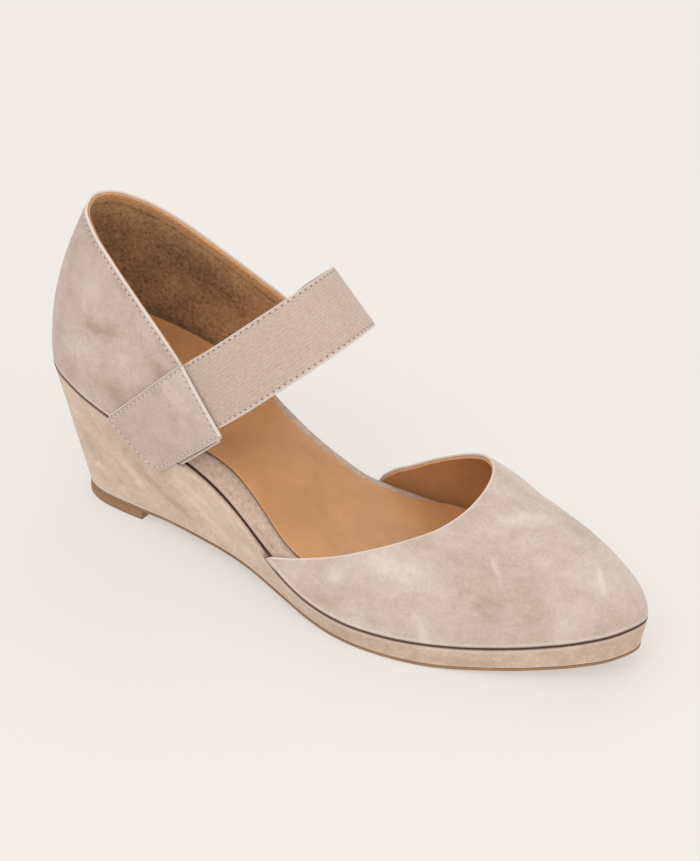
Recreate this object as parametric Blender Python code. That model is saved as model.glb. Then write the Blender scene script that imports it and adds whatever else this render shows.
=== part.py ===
"""Right-foot wedge shoe with a closed toe, open sides, a closed heel and an elastic instep strap.

While building, x runs from the back of the heel to the toe, y is positive on the inner (medial) side of
the foot and negative on the outer (lateral) side, and z is up from the floor. Sizes are written in
millimetres and scaled by MM. The finished shoe is centred over the world's origin.
"""

import math

import bmesh
import bpy
import numpy as np
from mathutils import Vector

MM = 0.001

# Driving sizes, in millimetres and degrees.
SHOE_LENGTH = 244.0
TOE_TIP_Y = 5.0
SEAM_GAP = 0.3
OUTSOLE_THICKNESS = 1.8
LIFT_THICKNESS = 4.0
LIFT_FRONT_X = 44.4
HEEL_UNDERCUT = 11.6
HEEL_UNDERCUT_END_X = 95.0
TOE_UNDERCUT = 1.6
TOE_UNDERCUT_START_X = 200.0
UPPER_THICKNESS = 2.0
FOOTBED_THICKNESS = 6.6
SOCK_THICKNESS = 1.2
TOE_CAP_START_X = 203.0
QUARTER_LATERAL_FRONT_X = 74.6
QUARTER_MEDIAL_FRONT_X = 71.0
HEEL_BULGE = 5.6
SIDE_BULGE = 1.6
VAMP_LATERAL_END_X = 115.6
VAMP_MEDIAL_END_X = 117.8
STRAP_HEEL_MARGIN = 0.01
STRAP_TOE_MARGIN = 0.12
STRAP_THICKNESS = 1.5
STRAP_TUCK = 0.22
STRAP_TILT_DEG = 47.5
STRAP_MEDIAL_HEEL_X = 83.5
STRAP_MEDIAL_TOE_X = 100.5
TAB_THICKNESS = 1.6
TAB_CORNER_RADIUS = 4.5

# Plan outline at the seam where the upper meets the wedge: x, lateral y, medial y.
OUTLINE = (
    (4.5, -16.4, 15.8),
    (12.0, -23.4, 23.0),
    (24.0, -28.2, 27.4),
    (38.0, -30.8, 29.2),
    (54.0, -31.8, 29.6),
    (70.0, -31.7, 28.2),
    (86.0, -32.2, 25.4),
    (100.0, -34.2, 24.6),
    (115.0, -37.8, 27.8),
    (131.0, -41.2, 35.4),
    (149.0, -42.3, 40.6),
    (167.0, -39.7, 41.7),
    (184.0, -34.6, 41.1),
    (201.0, -27.6, 37.3),
    (217.0, -20.0, 30.9),
    (230.0, -12.6, 23.2),
    (239.0, -5.6, 15.2),
)

# Side profile: x, height of the seam, height of the outsole's bottom, which is cut off flat at the floor.
PROFILE = (
    (0.0, 58.8, 4.0),
    (16.0, 56.6, 4.0),
    (31.0, 53.1, 4.0),
    (47.0, 49.6, 4.0),
    (62.0, 46.0, 5.1),
    (78.0, 41.0, 5.8),
    (93.0, 34.3, 5.3),
    (107.0, 26.4, 3.9),
    (120.0, 19.0, 2.2),
    (134.0, 13.5, 0.6),
    (150.0, 10.4, -0.2),
    (166.0, 9.4, -0.3),
    (182.0, 9.6, 0.1),
    (199.0, 11.0, 1.7),
    (216.0, 13.7, 3.9),
    (231.0, 17.2, 6.5),
    (244.0, 21.4, 9.6),
)

# Share of the half width that the wedge keeps at its bottom: x at the seam, share.
BOTTOM_WIDTH = (
    (0.0, 0.72),
    (14.0, 0.64),
    (40.0, 0.56),
    (80.0, 0.72),
    (120.0, 0.83),
    (160.0, 0.95),
    (244.0, 0.98),
)

# Forefoot of the last: x, ridge height above the seam, ridge y, lateral power, medial power.
FOREFOOT = (
    (105.0, 60.0, -0.5, 1.05, 1.20),
    (128.0, 58.4, 1.0, 1.08, 1.30),
    (145.0, 54.4, 2.4, 1.26, 1.66),
    (159.0, 50.5, 5.0, 1.56, 1.94),
    (174.0, 45.1, 7.4, 1.78, 2.16),
    (190.0, 38.1, 7.6, 1.86, 2.05),
    (206.0, 31.9, 7.4, 1.94, 2.02),
    (225.0, 25.9, 6.6, 1.97, 1.98),
    (244.0, 20.0, 5.0, 1.95, 1.95),
)

# Throat line in plan, from the lateral wing over the instep to the medial wing: x, y.
THROAT_LATERAL = (
    (117.4, -37.3),
    (124.8, -36.0),
    (135.9, -33.8),
    (147.0, -31.6),
    (157.5, -28.8),
    (166.5, -24.0),
    (174.2, -17.0),
    (178.6, -8.0),
)
THROAT_CENTRE = (179.6, 1.0)
THROAT_MEDIAL = (
    (178.4, 8.8),
    (175.6, 15.8),
    (171.6, 21.2),
    (166.6, 25.2),
    (160.8, 28.7),
    (154.4, 30.9),
    (147.0, 31.9),
    (140.0, 31.8),
    (132.8, 31.1),
    (125.7, 29.9),
    (119.4, 29.2),
)

# Collar line from the lateral front corner round the heel to the medial front corner: x, y, z.
COLLAR_LATERAL = (
    (93.0, -34.0, 59.7),
    (84.6, -31.9, 71.8),
    (73.9, -29.2, 81.3),
    (61.4, -26.2, 90.6),
    (48.0, -22.6, 99.2),
    (34.8, -18.4, 107.2),
    (23.4, -13.9, 113.8),
    (15.6, -8.0, 118.6),
)
COLLAR_BACK = (13.0, 0.0, 120.4)
COLLAR_MEDIAL = (
    (15.6, 8.6, 119.2),
    (23.4, 14.6, 116.0),
    (35.8, 18.0, 111.4),
    (51.8, 19.8, 104.5),
    (68.1, 21.1, 97.0),
    (84.6, 22.7, 88.4),
    (93.6, 23.9, 80.8),
    (101.4, 25.0, 73.4),
)

# Space kept from the outline: x, at the footbed's bottom edge, at its top edge on the lateral and the medial
# side, at the sock's edge on the lateral and the medial side.
FOOTBED_INSET = (
    (0.0, 2.8, 3.4, 3.4, 4.6, 4.6),
    (74.0, 2.6, 3.8, 3.6, 5.2, 6.4),
    (90.0, 2.6, 4.6, 4.6, 8.8, 9.2),
    (104.0, 2.4, 4.8, 4.4, 8.2, 9.2),
    (118.0, 2.9, 5.4, 4.8, 7.0, 9.8),
    (131.0, 3.6, 6.6, 4.8, 7.8, 10.0),
    (150.0, 3.8, 7.0, 4.6, 8.2, 5.8),
    (170.0, 3.4, 5.8, 4.8, 7.2, 6.0),
    (200.0, 3.2, 5.2, 5.2, 6.6, 6.6),
    (225.0, 3.2, 5.6, 5.6, 6.8, 6.8),
    (244.0, 3.4, 6.6, 6.6, 7.8, 7.8),
)

# Free arch of the strap, seen along the instep: height above the tab, y, y shift of its toe edge.
STRAP_ARCH = (
    (13.7, -28.9, -5.0),
    (27.7, -23.8, -4.6),
    (39.7, -17.4, -4.0),
    (46.5, -8.6, -3.2),
    (48.3, 1.0, -2.4),
    (45.9, 10.4, -1.4),
    (39.9, 17.8, -0.4),
    (30.9, 21.6, 0.6),
    (20.5, 22.2, 1.4),
)

# Side-view corners of the tab: x, z at its heel side, x, z at its toe side.
TAB_LOWER_END = (41.2, 51.2, 64.0, 36.2)
TAB_UPPER_END = (76.0, 84.1, 97.3, 64.3)

SUEDE_TAUPE = (0.60, 0.47, 0.39)
SUEDE_MAUVE = (0.44, 0.35, 0.30)
ELASTIC_ROSE = (0.58, 0.43, 0.36)
LEATHER_TAN = (0.50, 0.26, 0.12)
RUBBER_BROWN = (0.32, 0.18, 0.09)

TILT = math.radians(STRAP_TILT_DEG)
ARCH_UP = np.array([math.sin(TILT), math.cos(TILT)])


def spline(knots, values, at):
    """Smooth curve through the values at the knots, read at the given places."""
    knots = np.asarray(knots, float)
    values = np.asarray(values, float)
    at = np.asarray(at, float)
    slopes = np.gradient(values, knots, axis=0)
    i = np.clip(np.searchsorted(knots, at, side="right") - 1, 0, len(knots) - 2)
    span = knots[i + 1] - knots[i]
    t = (at - knots[i]) / span
    if values.ndim > 1:
        t, span = t[..., None], span[..., None]
    a = (1 + 2 * t) * (1 - t) ** 2
    b = t * (1 - t) ** 2
    c = t * t * (3 - 2 * t)
    d = t * t * (t - 1)
    return a * values[i] + b * span * slopes[i] + c * values[i + 1] + d * span * slopes[i + 1]


def column(table, index, at):
    """One column of a table, read smoothly by its first column."""
    rows = np.array(table)
    return spline(rows[:, 0], rows[:, index], np.clip(at, rows[0, 0], rows[-1, 0]))


def ease(low, high, at):
    """0 below low, 1 above high and a smooth step between them."""
    t = np.clip((at - low) / (high - low), 0, 1)
    return t * t * (3 - 2 * t)


def chord_lengths(points):
    steps = np.linalg.norm(np.diff(points, axis=0), axis=1)
    return np.concatenate([[0.0], np.cumsum(steps)])


class Outline:
    """The closed plan outline, measured by s from the heel's back, lateral side first, toe, medial side."""

    def __init__(self):
        lateral = [(x, y) for x, y, _ in OUTLINE]
        medial = [(x, y) for x, _, y in OUTLINE]
        ring = [(0.0, 0.0), *lateral, (SHOE_LENGTH, TOE_TIP_Y), *reversed(medial)]
        self.points = np.array(ring * 3)
        lengths = chord_lengths(self.points)
        self.total = lengths[len(ring)]
        self.lengths = lengths - self.total
        self.toe = self.lengths[len(ring) + len(OUTLINE) + 1]
        self.fine = np.linspace(0, self.total, 2001)
        self.fine_x, self.fine_y = self.at(self.fine).T

    def at(self, s):
        return spline(self.lengths, self.points, s)

    def outward(self, s):
        """Unit normal in plan, pointing out of the shoe."""
        tangent = self.at(s + 0.5) - self.at(s - 0.5)
        normal = np.stack([tangent[..., 1], -tangent[..., 0]], axis=-1)
        return normal / np.linalg.norm(normal, axis=-1, keepdims=True)

    def side(self, medial):
        """Fine samples of s, x and y on one side, with x rising."""
        pick = self.fine >= self.toe if medial else self.fine <= self.toe
        order = slice(None, None, -1) if medial else slice(None)
        return self.fine[pick][order], self.fine_x[pick][order], self.fine_y[pick][order]

    def s_at(self, x, medial):
        s, xs, _ = self.side(medial)
        return float(np.interp(x, xs, s))

    def y_at(self, x, medial):
        _, xs, ys = self.side(medial)
        return np.interp(x, xs, ys)


PLAN = Outline()


def seam_height(x):
    return column(PROFILE, 1, x)


def floor_height(x):
    return np.maximum(column(PROFILE, 2, x), 0.0)


def with_height(point, z):
    return np.concatenate([point, np.broadcast_to(z, point.shape[:-1])[..., None]], axis=-1)


def side_point(u, medial, inset=0.0):
    """Plan point at share u from heel to toe along one side, moved inwards by inset."""
    s = PLAN.total - u * (PLAN.total - PLAN.toe) if medial else u * PLAN.toe
    return PLAN.at(s) - inset * PLAN.outward(s)


def bottom_point(point):
    """Where a plan point of the seam outline comes out at the wedge's bottom."""
    x, y = point[..., 0], point[..., 1]
    x_bottom = x + HEEL_UNDERCUT * (1 - ease(0, HEEL_UNDERCUT_END_X, x))
    x_bottom = x_bottom - TOE_UNDERCUT * ease(TOE_UNDERCUT_START_X, SHOE_LENGTH, x)
    return np.stack([x_bottom, y * column(BOTTOM_WIDTH, 1, x)], axis=-1)


def stations(count):
    """Shares from heel to toe, closer together where the outline turns at its two ends."""
    k = np.linspace(0, 1, count + 1)
    return 0.75 * (1 - np.cos(math.pi * k)) / 2 + 0.25 * k


def section_ring(low, high, side_steps, face_steps):
    """Closed ring round one cross section, from its (lateral, medial) low and high corners."""
    corners = (low[0], high[0], high[1], low[1], low[0])
    steps = (side_steps, face_steps, side_steps, face_steps)
    ring = []
    for start, end, count in zip(corners, corners[1:], steps):
        ring.extend(start + (end - start) * k / count for k in range(count))
    return ring


def wedge_rings():
    rings = []
    for u in stations(46):
        high = [side_point(u, medial) for medial in (False, True)]
        low = [bottom_point(p) for p in high]
        high = [with_height(p, seam_height(p[0])) for p in high]
        low = [with_height(p, floor_height(p[0]) + OUTSOLE_THICKNESS + SEAM_GAP) for p in low]
        rings.append(section_ring(low, high, 4, 4))
    return rings


def outsole_rings():
    rings = []
    for u in stations(46):
        plan = [bottom_point(side_point(u, medial)) for medial in (False, True)]
        low = [with_height(p, floor_height(p[0])) for p in plan]
        high = [with_height(p, floor_height(p[0]) + OUTSOLE_THICKNESS) for p in plan]
        rings.append(section_ring(low, high, 1, 4))
    return rings


def lift_rings():
    """The heel lift follows the outsole from its back to a straight front edge."""
    shares = np.linspace(0, 1, 400)
    ends = []
    for medial in (False, True):
        x = bottom_point(side_point(shares, medial))[:, 0]
        ends.append(float(np.interp(LIFT_FRONT_X, x, shares)))
    rings = []
    for k in np.linspace(0, 1, 13):
        plan = [bottom_point(side_point(end * k**1.6, medial)) for medial, end in enumerate(ends)]
        low = [with_height(p, 0.0) for p in plan]
        high = [with_height(p, LIFT_THICKNESS - SEAM_GAP) for p in plan]
        rings.append(section_ring(low, high, 1, 4))
    return rings


def bed_rings(low_columns, high_columns, low_lift, high_lift):
    """A layer that lies on the wedge inside the upper, by each side's columns of the inset table and heights."""
    rings = []
    for u in stations(44):
        low, high = [], []
        for medial in (False, True):
            x = side_point(u, medial)[0]
            low.append(side_point(u, medial, column(FOOTBED_INSET, low_columns[medial], x)))
            high.append(side_point(u, medial, column(FOOTBED_INSET, high_columns[medial], x)))
        low = [with_height(p, seam_height(p[0]) + low_lift) for p in low]
        high = [with_height(p, seam_height(p[0]) + high_lift) for p in high]
        rings.append(section_ring(low, high, 2, 6))
    return rings


def last_height(x, y):
    """Height of the last's forefoot over the floor at a plan point."""
    past = np.clip((x - TOE_CAP_START_X) / (SHOE_LENGTH - TOE_CAP_START_X), 0, 1)
    ridge = column(FOREFOOT, 1, x) * np.sqrt(1 - past**2)
    middle = column(FOREFOOT, 2, x)
    lateral = y < middle
    half = np.where(lateral, middle - PLAN.y_at(x, False), PLAN.y_at(x, True) - middle)
    power = np.where(lateral, column(FOREFOOT, 3, x), column(FOREFOOT, 4, x))
    reach = np.clip(np.abs(y - middle) / np.maximum(half, 1e-6), 0, 1)
    return seam_height(x) + SEAM_GAP + ridge * (1 - reach**power) ** (1 / power)


def halves(u, lateral_curve, medial_curve):
    """Point of a smooth curve given in a lateral and a medial half that meet at u = 0.5."""
    lateral, medial = chord_lengths(lateral_curve), chord_lengths(medial_curve)
    knots = np.concatenate([lateral / lateral[-1], 1 + medial[1:] / medial[-1]]) / 2
    return spline(knots, [*lateral_curve, *medial_curve[1:]], u)


def vamp_surface(u, v):
    """Outer face of the vamp: u from lateral wing by the toe to medial wing, v from seam to throat."""
    start = PLAN.s_at(VAMP_LATERAL_END_X, False)
    end = PLAN.s_at(VAMP_MEDIAL_END_X, True)
    base = PLAN.at(np.interp(u, (0, 0.5, 1), (start, PLAN.toe, end)))
    top = halves(u, [*THROAT_LATERAL, THROAT_CENTRE], [THROAT_CENTRE, *THROAT_MEDIAL])
    reach = 1 - np.cos(v * math.pi / 2)
    plan = base + (top - base) * reach[:, None]
    return with_height(plan, last_height(plan[:, 0], plan[:, 1]))


def quarter_surface(u, v):
    """Outer face of the quarter: u from lateral front by the heel to medial front, v from seam to collar."""
    start = PLAN.s_at(QUARTER_LATERAL_FRONT_X, False)
    end = PLAN.s_at(QUARTER_MEDIAL_FRONT_X, True) - PLAN.total
    s = np.interp(u, (0, 0.5, 1), (start, 0, end))
    plan = PLAN.at(s)
    base = with_height(plan, seam_height(plan[:, 0]) + SEAM_GAP)
    top = halves(u, [*COLLAR_LATERAL, COLLAR_BACK], [COLLAR_BACK, *COLLAR_MEDIAL])
    swell = SIDE_BULGE + (HEEL_BULGE - SIDE_BULGE) * np.exp(-(((u - 0.5) / 0.16) ** 2))
    rise = np.clip(v, 0, 1)
    swell = swell * 4 * rise * (1 - rise) * (1.25 - 0.5 * rise)
    out = with_height(PLAN.outward(s), 0.0)
    return base + (top - base) * v[:, None] + out * swell[:, None]


def unit_normal(across, upward):
    normal = np.cross(across, upward)
    return normal / np.linalg.norm(normal, axis=-1, keepdims=True)


def behind(surface, u, v, depth):
    """The point a depth behind an outer face whose u and v run so that it faces out."""
    step = 0.004
    across = surface(np.minimum(u + step, 1), v) - surface(np.maximum(u - step, 0), v)
    upward = surface(u, np.minimum(v + step, 1)) - surface(u, np.maximum(v - step, 0))
    return surface(u, v) - depth * unit_normal(across, upward)


def above_wedge(points):
    """Points of a wall, lifted where its foot would reach into the wedge."""
    lowest = seam_height(points[:, 0]) + SEAM_GAP
    return with_height(points[:, :2], np.maximum(points[:, 2], lowest))


def vamp_lining(u, v):
    return above_wedge(behind(vamp_surface, u, v, UPPER_THICKNESS))


def quarter_lining(u, v):
    return above_wedge(behind(quarter_surface, u, v, -UPPER_THICKNESS))


def quarter_offset(u, v, distance):
    """A point at a distance from the quarter's outer face, positive outwards, also past its edges."""
    step = 0.004
    across = quarter_surface(u + step, v) - quarter_surface(u - step, v)
    upward = quarter_surface(u, v + step) - quarter_surface(u, v - step)
    reach = np.broadcast_to(distance, u.shape)[:, None]
    return quarter_surface(u, v) - reach * unit_normal(across, upward)


def quarter_place(x, z, medial):
    """The quarter's u and v under a point of the side view, found by Newton steps."""
    u = np.full(x.shape, 0.85 if medial else 0.15)
    v = np.full(x.shape, 0.5)
    step = 0.002
    for _ in range(25):
        here = quarter_surface(u, v)
        du = (quarter_surface(u + step, v) - here) / step
        dv = (quarter_surface(u, v + step) - here) / step
        miss_x, miss_z = x - here[:, 0], z - here[:, 2]
        det = du[:, 0] * dv[:, 2] - dv[:, 0] * du[:, 2]
        u = u + np.clip((miss_x * dv[:, 2] - dv[:, 0] * miss_z) / det, -0.08, 0.08)
        v = v + np.clip((du[:, 0] * miss_z - miss_x * du[:, 2]) / det, -0.3, 0.3)
    return u, v


def tab_place(across, upward):
    """Side-view place on the tab, from shares of its width and of its length from the lower end up."""
    ends = []
    for heel_x, heel_z, toe_x, toe_z in (TAB_LOWER_END, TAB_UPPER_END):
        heel, toe = np.array([heel_x, heel_z]), np.array([toe_x, toe_z])
        ends.append(heel + across[:, None] * (toe - heel))
    return ends[0] + (ends[1] - ends[0]) * upward[:, None]


def tab_surface(u, v, depth=0.0):
    """Face of the tab, or a depth behind it: u from heel to toe side, v from rounded lower end to top."""
    corner_rows = 0.35
    middle = tab_place(np.full(2, 0.5), np.array([0.0, 1.0]))
    edge = tab_place(np.array([0.0, 1.0]), np.zeros(2))
    round_up = TAB_CORNER_RADIUS / np.linalg.norm(middle[1] - middle[0])
    round_across = TAB_CORNER_RADIUS / np.linalg.norm(edge[1] - edge[0])
    turn = np.clip(v / corner_rows, 0, 1) * math.pi / 2
    straight = round_up + (v - corner_rows) / (1 - corner_rows) * (1 - round_up)
    upward = np.where(v < corner_rows, round_up * (1 - np.cos(turn)), straight)
    across = 0.5 + (2 * u - 1) * (0.5 - round_across * (1 - np.sin(turn)))
    place = tab_place(across, upward)
    over_strap = ease(1 - 2.1 * STRAP_TUCK, 1 - 1.1 * STRAP_TUCK, upward)
    lift = 1.6 * SEAM_GAP + TAB_THICKNESS + over_strap * (STRAP_THICKNESS + SEAM_GAP)
    return quarter_offset(*quarter_place(place[:, 0], place[:, 1], False), lift - depth)


def tab_back(u, v):
    return tab_surface(u, v, TAB_THICKNESS)


def strap_rows(u):
    """Rows of points along the strap's outer face, from under the tab over the instep into the quarter."""
    across = STRAP_HEEL_MARGIN + u * (1 - STRAP_HEEL_MARGIN - STRAP_TOE_MARGIN)
    rows = []
    for upward in (1 - STRAP_TUCK, 1 - STRAP_TUCK / 2, 1.0):
        place = tab_place(across, np.full(u.shape, upward))
        places = quarter_place(place[:, 0], place[:, 1], False)
        rows.append(quarter_offset(*places, SEAM_GAP + STRAP_THICKNESS))
    for height, y, toe_shift in STRAP_ARCH:
        place = tab_place(across, np.ones(u.shape)) + height * ARCH_UP
        rows.append(np.stack([place[:, 0], y + toe_shift * u, place[:, 1]], axis=-1))
    fine = np.linspace(0.5, 1, 400)
    collar_x = quarter_surface(fine, np.ones(400))[:, 0]
    end_x = STRAP_MEDIAL_HEEL_X + (STRAP_MEDIAL_TOE_X - STRAP_MEDIAL_HEEL_X) * u
    shares = np.interp(end_x, collar_x, fine)
    for v in (1.0, 0.91, 0.82):
        rows.append(quarter_offset(shares, np.full(u.shape, v), -UPPER_THICKNESS - SEAM_GAP))
    return np.array(rows)


def strap_surface(u, v):
    """Outer face of the strap: u across its width from heel to toe side, v along it."""
    rows = strap_rows(u)
    middle = rows.mean(axis=1)
    lengths = chord_lengths(middle)
    knots = lengths / lengths[-1]
    return np.array([spline(knots, rows[:, k], v[k]) for k in range(len(u))])


def strap_back(u, v):
    return behind(strap_surface, u, v, STRAP_THICKNESS)


def make_material(name, colour, roughness):
    material = bpy.data.materials.new(name)
    material.use_nodes = True
    shader = material.node_tree.nodes["Principled BSDF"]
    shader.inputs["Base Color"].default_value = (*colour, 1.0)
    shader.inputs["Roughness"].default_value = roughness
    return material


def add_body(parts, name, bm, material):
    """Link a finished bmesh as a named object with one material."""
    mesh = bpy.data.meshes.new(name)
    bm.to_mesh(mesh)
    bm.free()
    mesh.shade_smooth()
    mesh.set_sharp_from_angle(angle=math.radians(40))
    mesh.materials.append(material)
    body = bpy.data.objects.new(name, mesh)
    parts.objects.link(body)
    return body


def add_shell(parts, name, outer, inner, grid, material):
    """A wall between two faces: a flat grid is doubled by extruding it, then both sheets are bent."""
    bm = bmesh.new()
    bmesh.ops.create_grid(bm, x_segments=grid[0], y_segments=grid[1], size=0.5)
    sheets = [(list(bm.verts), outer)]
    doubled = bmesh.ops.extrude_face_region(bm, geom=bm.faces[:], use_keep_orig=True)
    sheets.append(([item for item in doubled["geom"] if isinstance(item, bmesh.types.BMVert)], inner))
    for verts, face in sheets:
        flat = np.clip(np.array([vert.co[:2] for vert in verts]) + 0.5, 0, 1)
        for vert, place in zip(verts, face(flat[:, 0], flat[:, 1])):
            vert.co = Vector(place) * MM
    bmesh.ops.recalc_face_normals(bm, faces=bm.faces)
    return add_body(parts, name, bm, material)


def add_loft(parts, name, rings, material, capped_end=False):
    """A solid through closed rings, whose end rings fold onto a line unless the last one is capped."""
    bm = bmesh.new()
    loops = []
    for ring in rings:
        verts = [bm.verts.new(Vector(place) * MM) for place in ring]
        loops.append([bm.edges.new(pair) for pair in zip(verts, verts[1:] + verts[:1])])
    for first, second in zip(loops, loops[1:]):
        bmesh.ops.bridge_loops(bm, edges=first + second)
    if capped_end:
        bmesh.ops.contextual_create(bm, geom=loops[-1])
    bmesh.ops.remove_doubles(bm, verts=bm.verts, dist=0.02 * MM)
    bmesh.ops.dissolve_degenerate(bm, edges=bm.edges, dist=0.01 * MM)
    bmesh.ops.recalc_face_normals(bm, faces=bm.faces)
    return add_body(parts, name, bm, material)


def centre_on_floor(parts):
    """Hang every part on an empty so that the whole shoe is centred over the origin."""
    bpy.context.view_layer.update()
    graph = bpy.context.evaluated_depsgraph_get()
    corners = []
    for body in parts.objects:
        corners.extend(Vector(corner) for corner in body.evaluated_get(graph).bound_box)
    low = [min(corner[axis] for corner in corners) for axis in range(3)]
    high = [max(corner[axis] for corner in corners) for axis in range(3)]
    anchor = bpy.data.objects.new("anchor", None)
    anchor.location = (-(low[0] + high[0]) / 2, -(low[1] + high[1]) / 2, -low[2])
    for body in list(parts.objects):
        body.parent = anchor
    parts.objects.link(anchor)
    bpy.context.view_layer.update()


def main():
    for old in list(bpy.data.objects):
        bpy.data.objects.remove(old)
    parts = bpy.data.collections.new("wedge_shoe")
    bpy.context.scene.collection.children.link(parts)
    suede = make_material("suede_taupe", SUEDE_TAUPE, 0.9)
    mauve = make_material("suede_mauve", SUEDE_MAUVE, 0.9)
    elastic = make_material("elastic_rose", ELASTIC_ROSE, 0.8)
    tan = make_material("leather_tan", LEATHER_TAN, 0.5)
    rubber = make_material("rubber_brown", RUBBER_BROWN, 0.6)
    sock_low = FOOTBED_THICKNESS + SEAM_GAP
    add_loft(parts, "outsole", outsole_rings(), rubber)
    add_loft(parts, "heel_lift", lift_rings(), rubber, capped_end=True)
    add_loft(parts, "wedge", wedge_rings(), suede)
    add_loft(parts, "footbed", bed_rings((1, 1), (2, 3), SEAM_GAP, FOOTBED_THICKNESS), mauve)
    add_loft(parts, "sock", bed_rings((4, 5), (4, 5), sock_low, sock_low + SOCK_THICKNESS), tan)
    add_shell(parts, "vamp", vamp_surface, vamp_lining, (56, 12), suede)
    add_shell(parts, "quarter", quarter_surface, quarter_lining, (48, 10), suede)
    add_shell(parts, "strap", strap_surface, strap_back, (5, 40), elastic)
    add_shell(parts, "strap_tab", tab_surface, tab_back, (10, 16), suede)
    centre_on_floor(parts)


main()
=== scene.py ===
"""Finish of a right-foot wedge shoe: suede upper and wedge, tan leather inside, elastic strap, threads.

The pattern lines repeat the part's own sizes, in millimetres: x runs from the back of the heel to the toe,
y is positive on the inner (medial) side and z is up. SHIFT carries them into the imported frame.
"""

import math

import bmesh
import bpy
import numpy as np
from mathutils import Matrix, Vector


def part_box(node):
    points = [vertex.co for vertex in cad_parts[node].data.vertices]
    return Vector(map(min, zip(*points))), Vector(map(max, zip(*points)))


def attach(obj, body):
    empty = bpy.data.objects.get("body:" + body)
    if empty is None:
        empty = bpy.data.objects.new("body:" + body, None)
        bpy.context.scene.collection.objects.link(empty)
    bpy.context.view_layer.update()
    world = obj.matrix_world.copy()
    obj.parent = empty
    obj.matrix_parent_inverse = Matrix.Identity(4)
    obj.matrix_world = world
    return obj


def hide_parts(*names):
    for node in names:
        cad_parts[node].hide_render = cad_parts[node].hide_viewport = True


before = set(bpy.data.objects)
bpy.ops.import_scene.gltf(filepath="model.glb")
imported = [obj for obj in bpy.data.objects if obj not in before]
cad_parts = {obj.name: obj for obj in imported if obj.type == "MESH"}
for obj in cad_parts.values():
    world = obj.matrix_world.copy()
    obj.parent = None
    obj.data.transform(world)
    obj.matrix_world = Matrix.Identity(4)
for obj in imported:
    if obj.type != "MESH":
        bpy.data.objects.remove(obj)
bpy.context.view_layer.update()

bl_info = {
    "name": "Wedge Shoe Finish",
    "version": (1, 0, 0),
    "blender": (4, 5, 0),
    "location": "View3D > Sidebar > Wedge Shoe",
    "description": "Suede, leather, elastic, threads and a studio for a wedge shoe",
    "category": "Object",
}

MM = 0.001

# Sizes of the part, in millimetres and degrees.
SHOE_LENGTH = 244.0
TOE_TIP_Y = 5.0
SEAM_GAP = 0.3
LIFT_THICKNESS = 4.0
LIFT_FRONT_X = 44.4
HEEL_UNDERCUT = 11.6
HEEL_UNDERCUT_END_X = 95.0
TOE_UNDERCUT = 1.6
TOE_UNDERCUT_START_X = 200.0
UPPER_THICKNESS = 2.0
FOOTBED_THICKNESS = 6.6
SOCK_THICKNESS = 1.2
TOE_CAP_START_X = 203.0
QUARTER_LATERAL_FRONT_X = 74.6
QUARTER_MEDIAL_FRONT_X = 71.0
HEEL_BULGE = 5.6
BULGE_SPREAD = 0.16
BULGE_LEAN = 0.25
SIDE_BULGE = 1.6
VAMP_LATERAL_END_X = 115.6
VAMP_MEDIAL_END_X = 117.8
STRAP_HEEL_MARGIN = 0.01
STRAP_TOE_MARGIN = 0.12
STRAP_THICKNESS = 1.5
STRAP_TUCK = 0.22
STRAP_TILT_DEG = 47.5
STRAP_MEDIAL_HEEL_X = 83.5
STRAP_MEDIAL_TOE_X = 100.5
TAB_THICKNESS = 1.6
TAB_CORNER_RADIUS = 4.5

# Plan outline at the seam where the upper meets the wedge: x, lateral y, medial y.
OUTLINE = (
    (4.5, -16.4, 15.8),
    (12.0, -23.4, 23.0),
    (24.0, -28.2, 27.4),
    (38.0, -30.8, 29.2),
    (54.0, -31.8, 29.6),
    (70.0, -31.7, 28.2),
    (86.0, -32.2, 25.4),
    (100.0, -34.2, 24.6),
    (115.0, -37.8, 27.8),
    (131.0, -41.2, 35.4),
    (149.0, -42.3, 40.6),
    (167.0, -39.7, 41.7),
    (184.0, -34.6, 41.1),
    (201.0, -27.6, 37.3),
    (217.0, -20.0, 30.9),
    (230.0, -12.6, 23.2),
    (239.0, -5.6, 15.2),
)

# Side profile: x, height of the seam, height of the outsole's bottom, which is cut off flat at the floor.
PROFILE = (
    (0.0, 58.8, 4.0),
    (16.0, 56.6, 4.0),
    (31.0, 53.1, 4.0),
    (47.0, 49.6, 4.0),
    (62.0, 46.0, 5.1),
    (78.0, 41.0, 5.8),
    (93.0, 34.3, 5.3),
    (107.0, 26.4, 3.9),
    (120.0, 19.0, 2.2),
    (134.0, 13.5, 0.6),
    (150.0, 10.4, -0.2),
    (166.0, 9.4, -0.3),
    (182.0, 9.6, 0.1),
    (199.0, 11.0, 1.7),
    (216.0, 13.7, 3.9),
    (231.0, 17.2, 6.5),
    (244.0, 21.4, 9.6),
)

# Share of the half width that the wedge keeps at its bottom: x at the seam, share.
BOTTOM_WIDTH = (
    (0.0, 0.72),
    (14.0, 0.64),
    (40.0, 0.56),
    (80.0, 0.72),
    (120.0, 0.83),
    (160.0, 0.95),
    (244.0, 0.98),
)

# Forefoot of the last: x, ridge height above the seam, ridge y, lateral power, medial power.
FOREFOOT = (
    (105.0, 60.0, -0.5, 1.05, 1.20),
    (128.0, 58.4, 1.0, 1.08, 1.30),
    (145.0, 54.4, 2.4, 1.26, 1.66),
    (159.0, 50.5, 5.0, 1.56, 1.94),
    (174.0, 45.1, 7.4, 1.78, 2.16),
    (190.0, 38.1, 7.6, 1.86, 2.05),
    (206.0, 31.9, 7.4, 1.94, 2.02),
    (225.0, 25.9, 6.6, 1.97, 1.98),
    (244.0, 20.0, 5.0, 1.95, 1.95),
)

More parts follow.
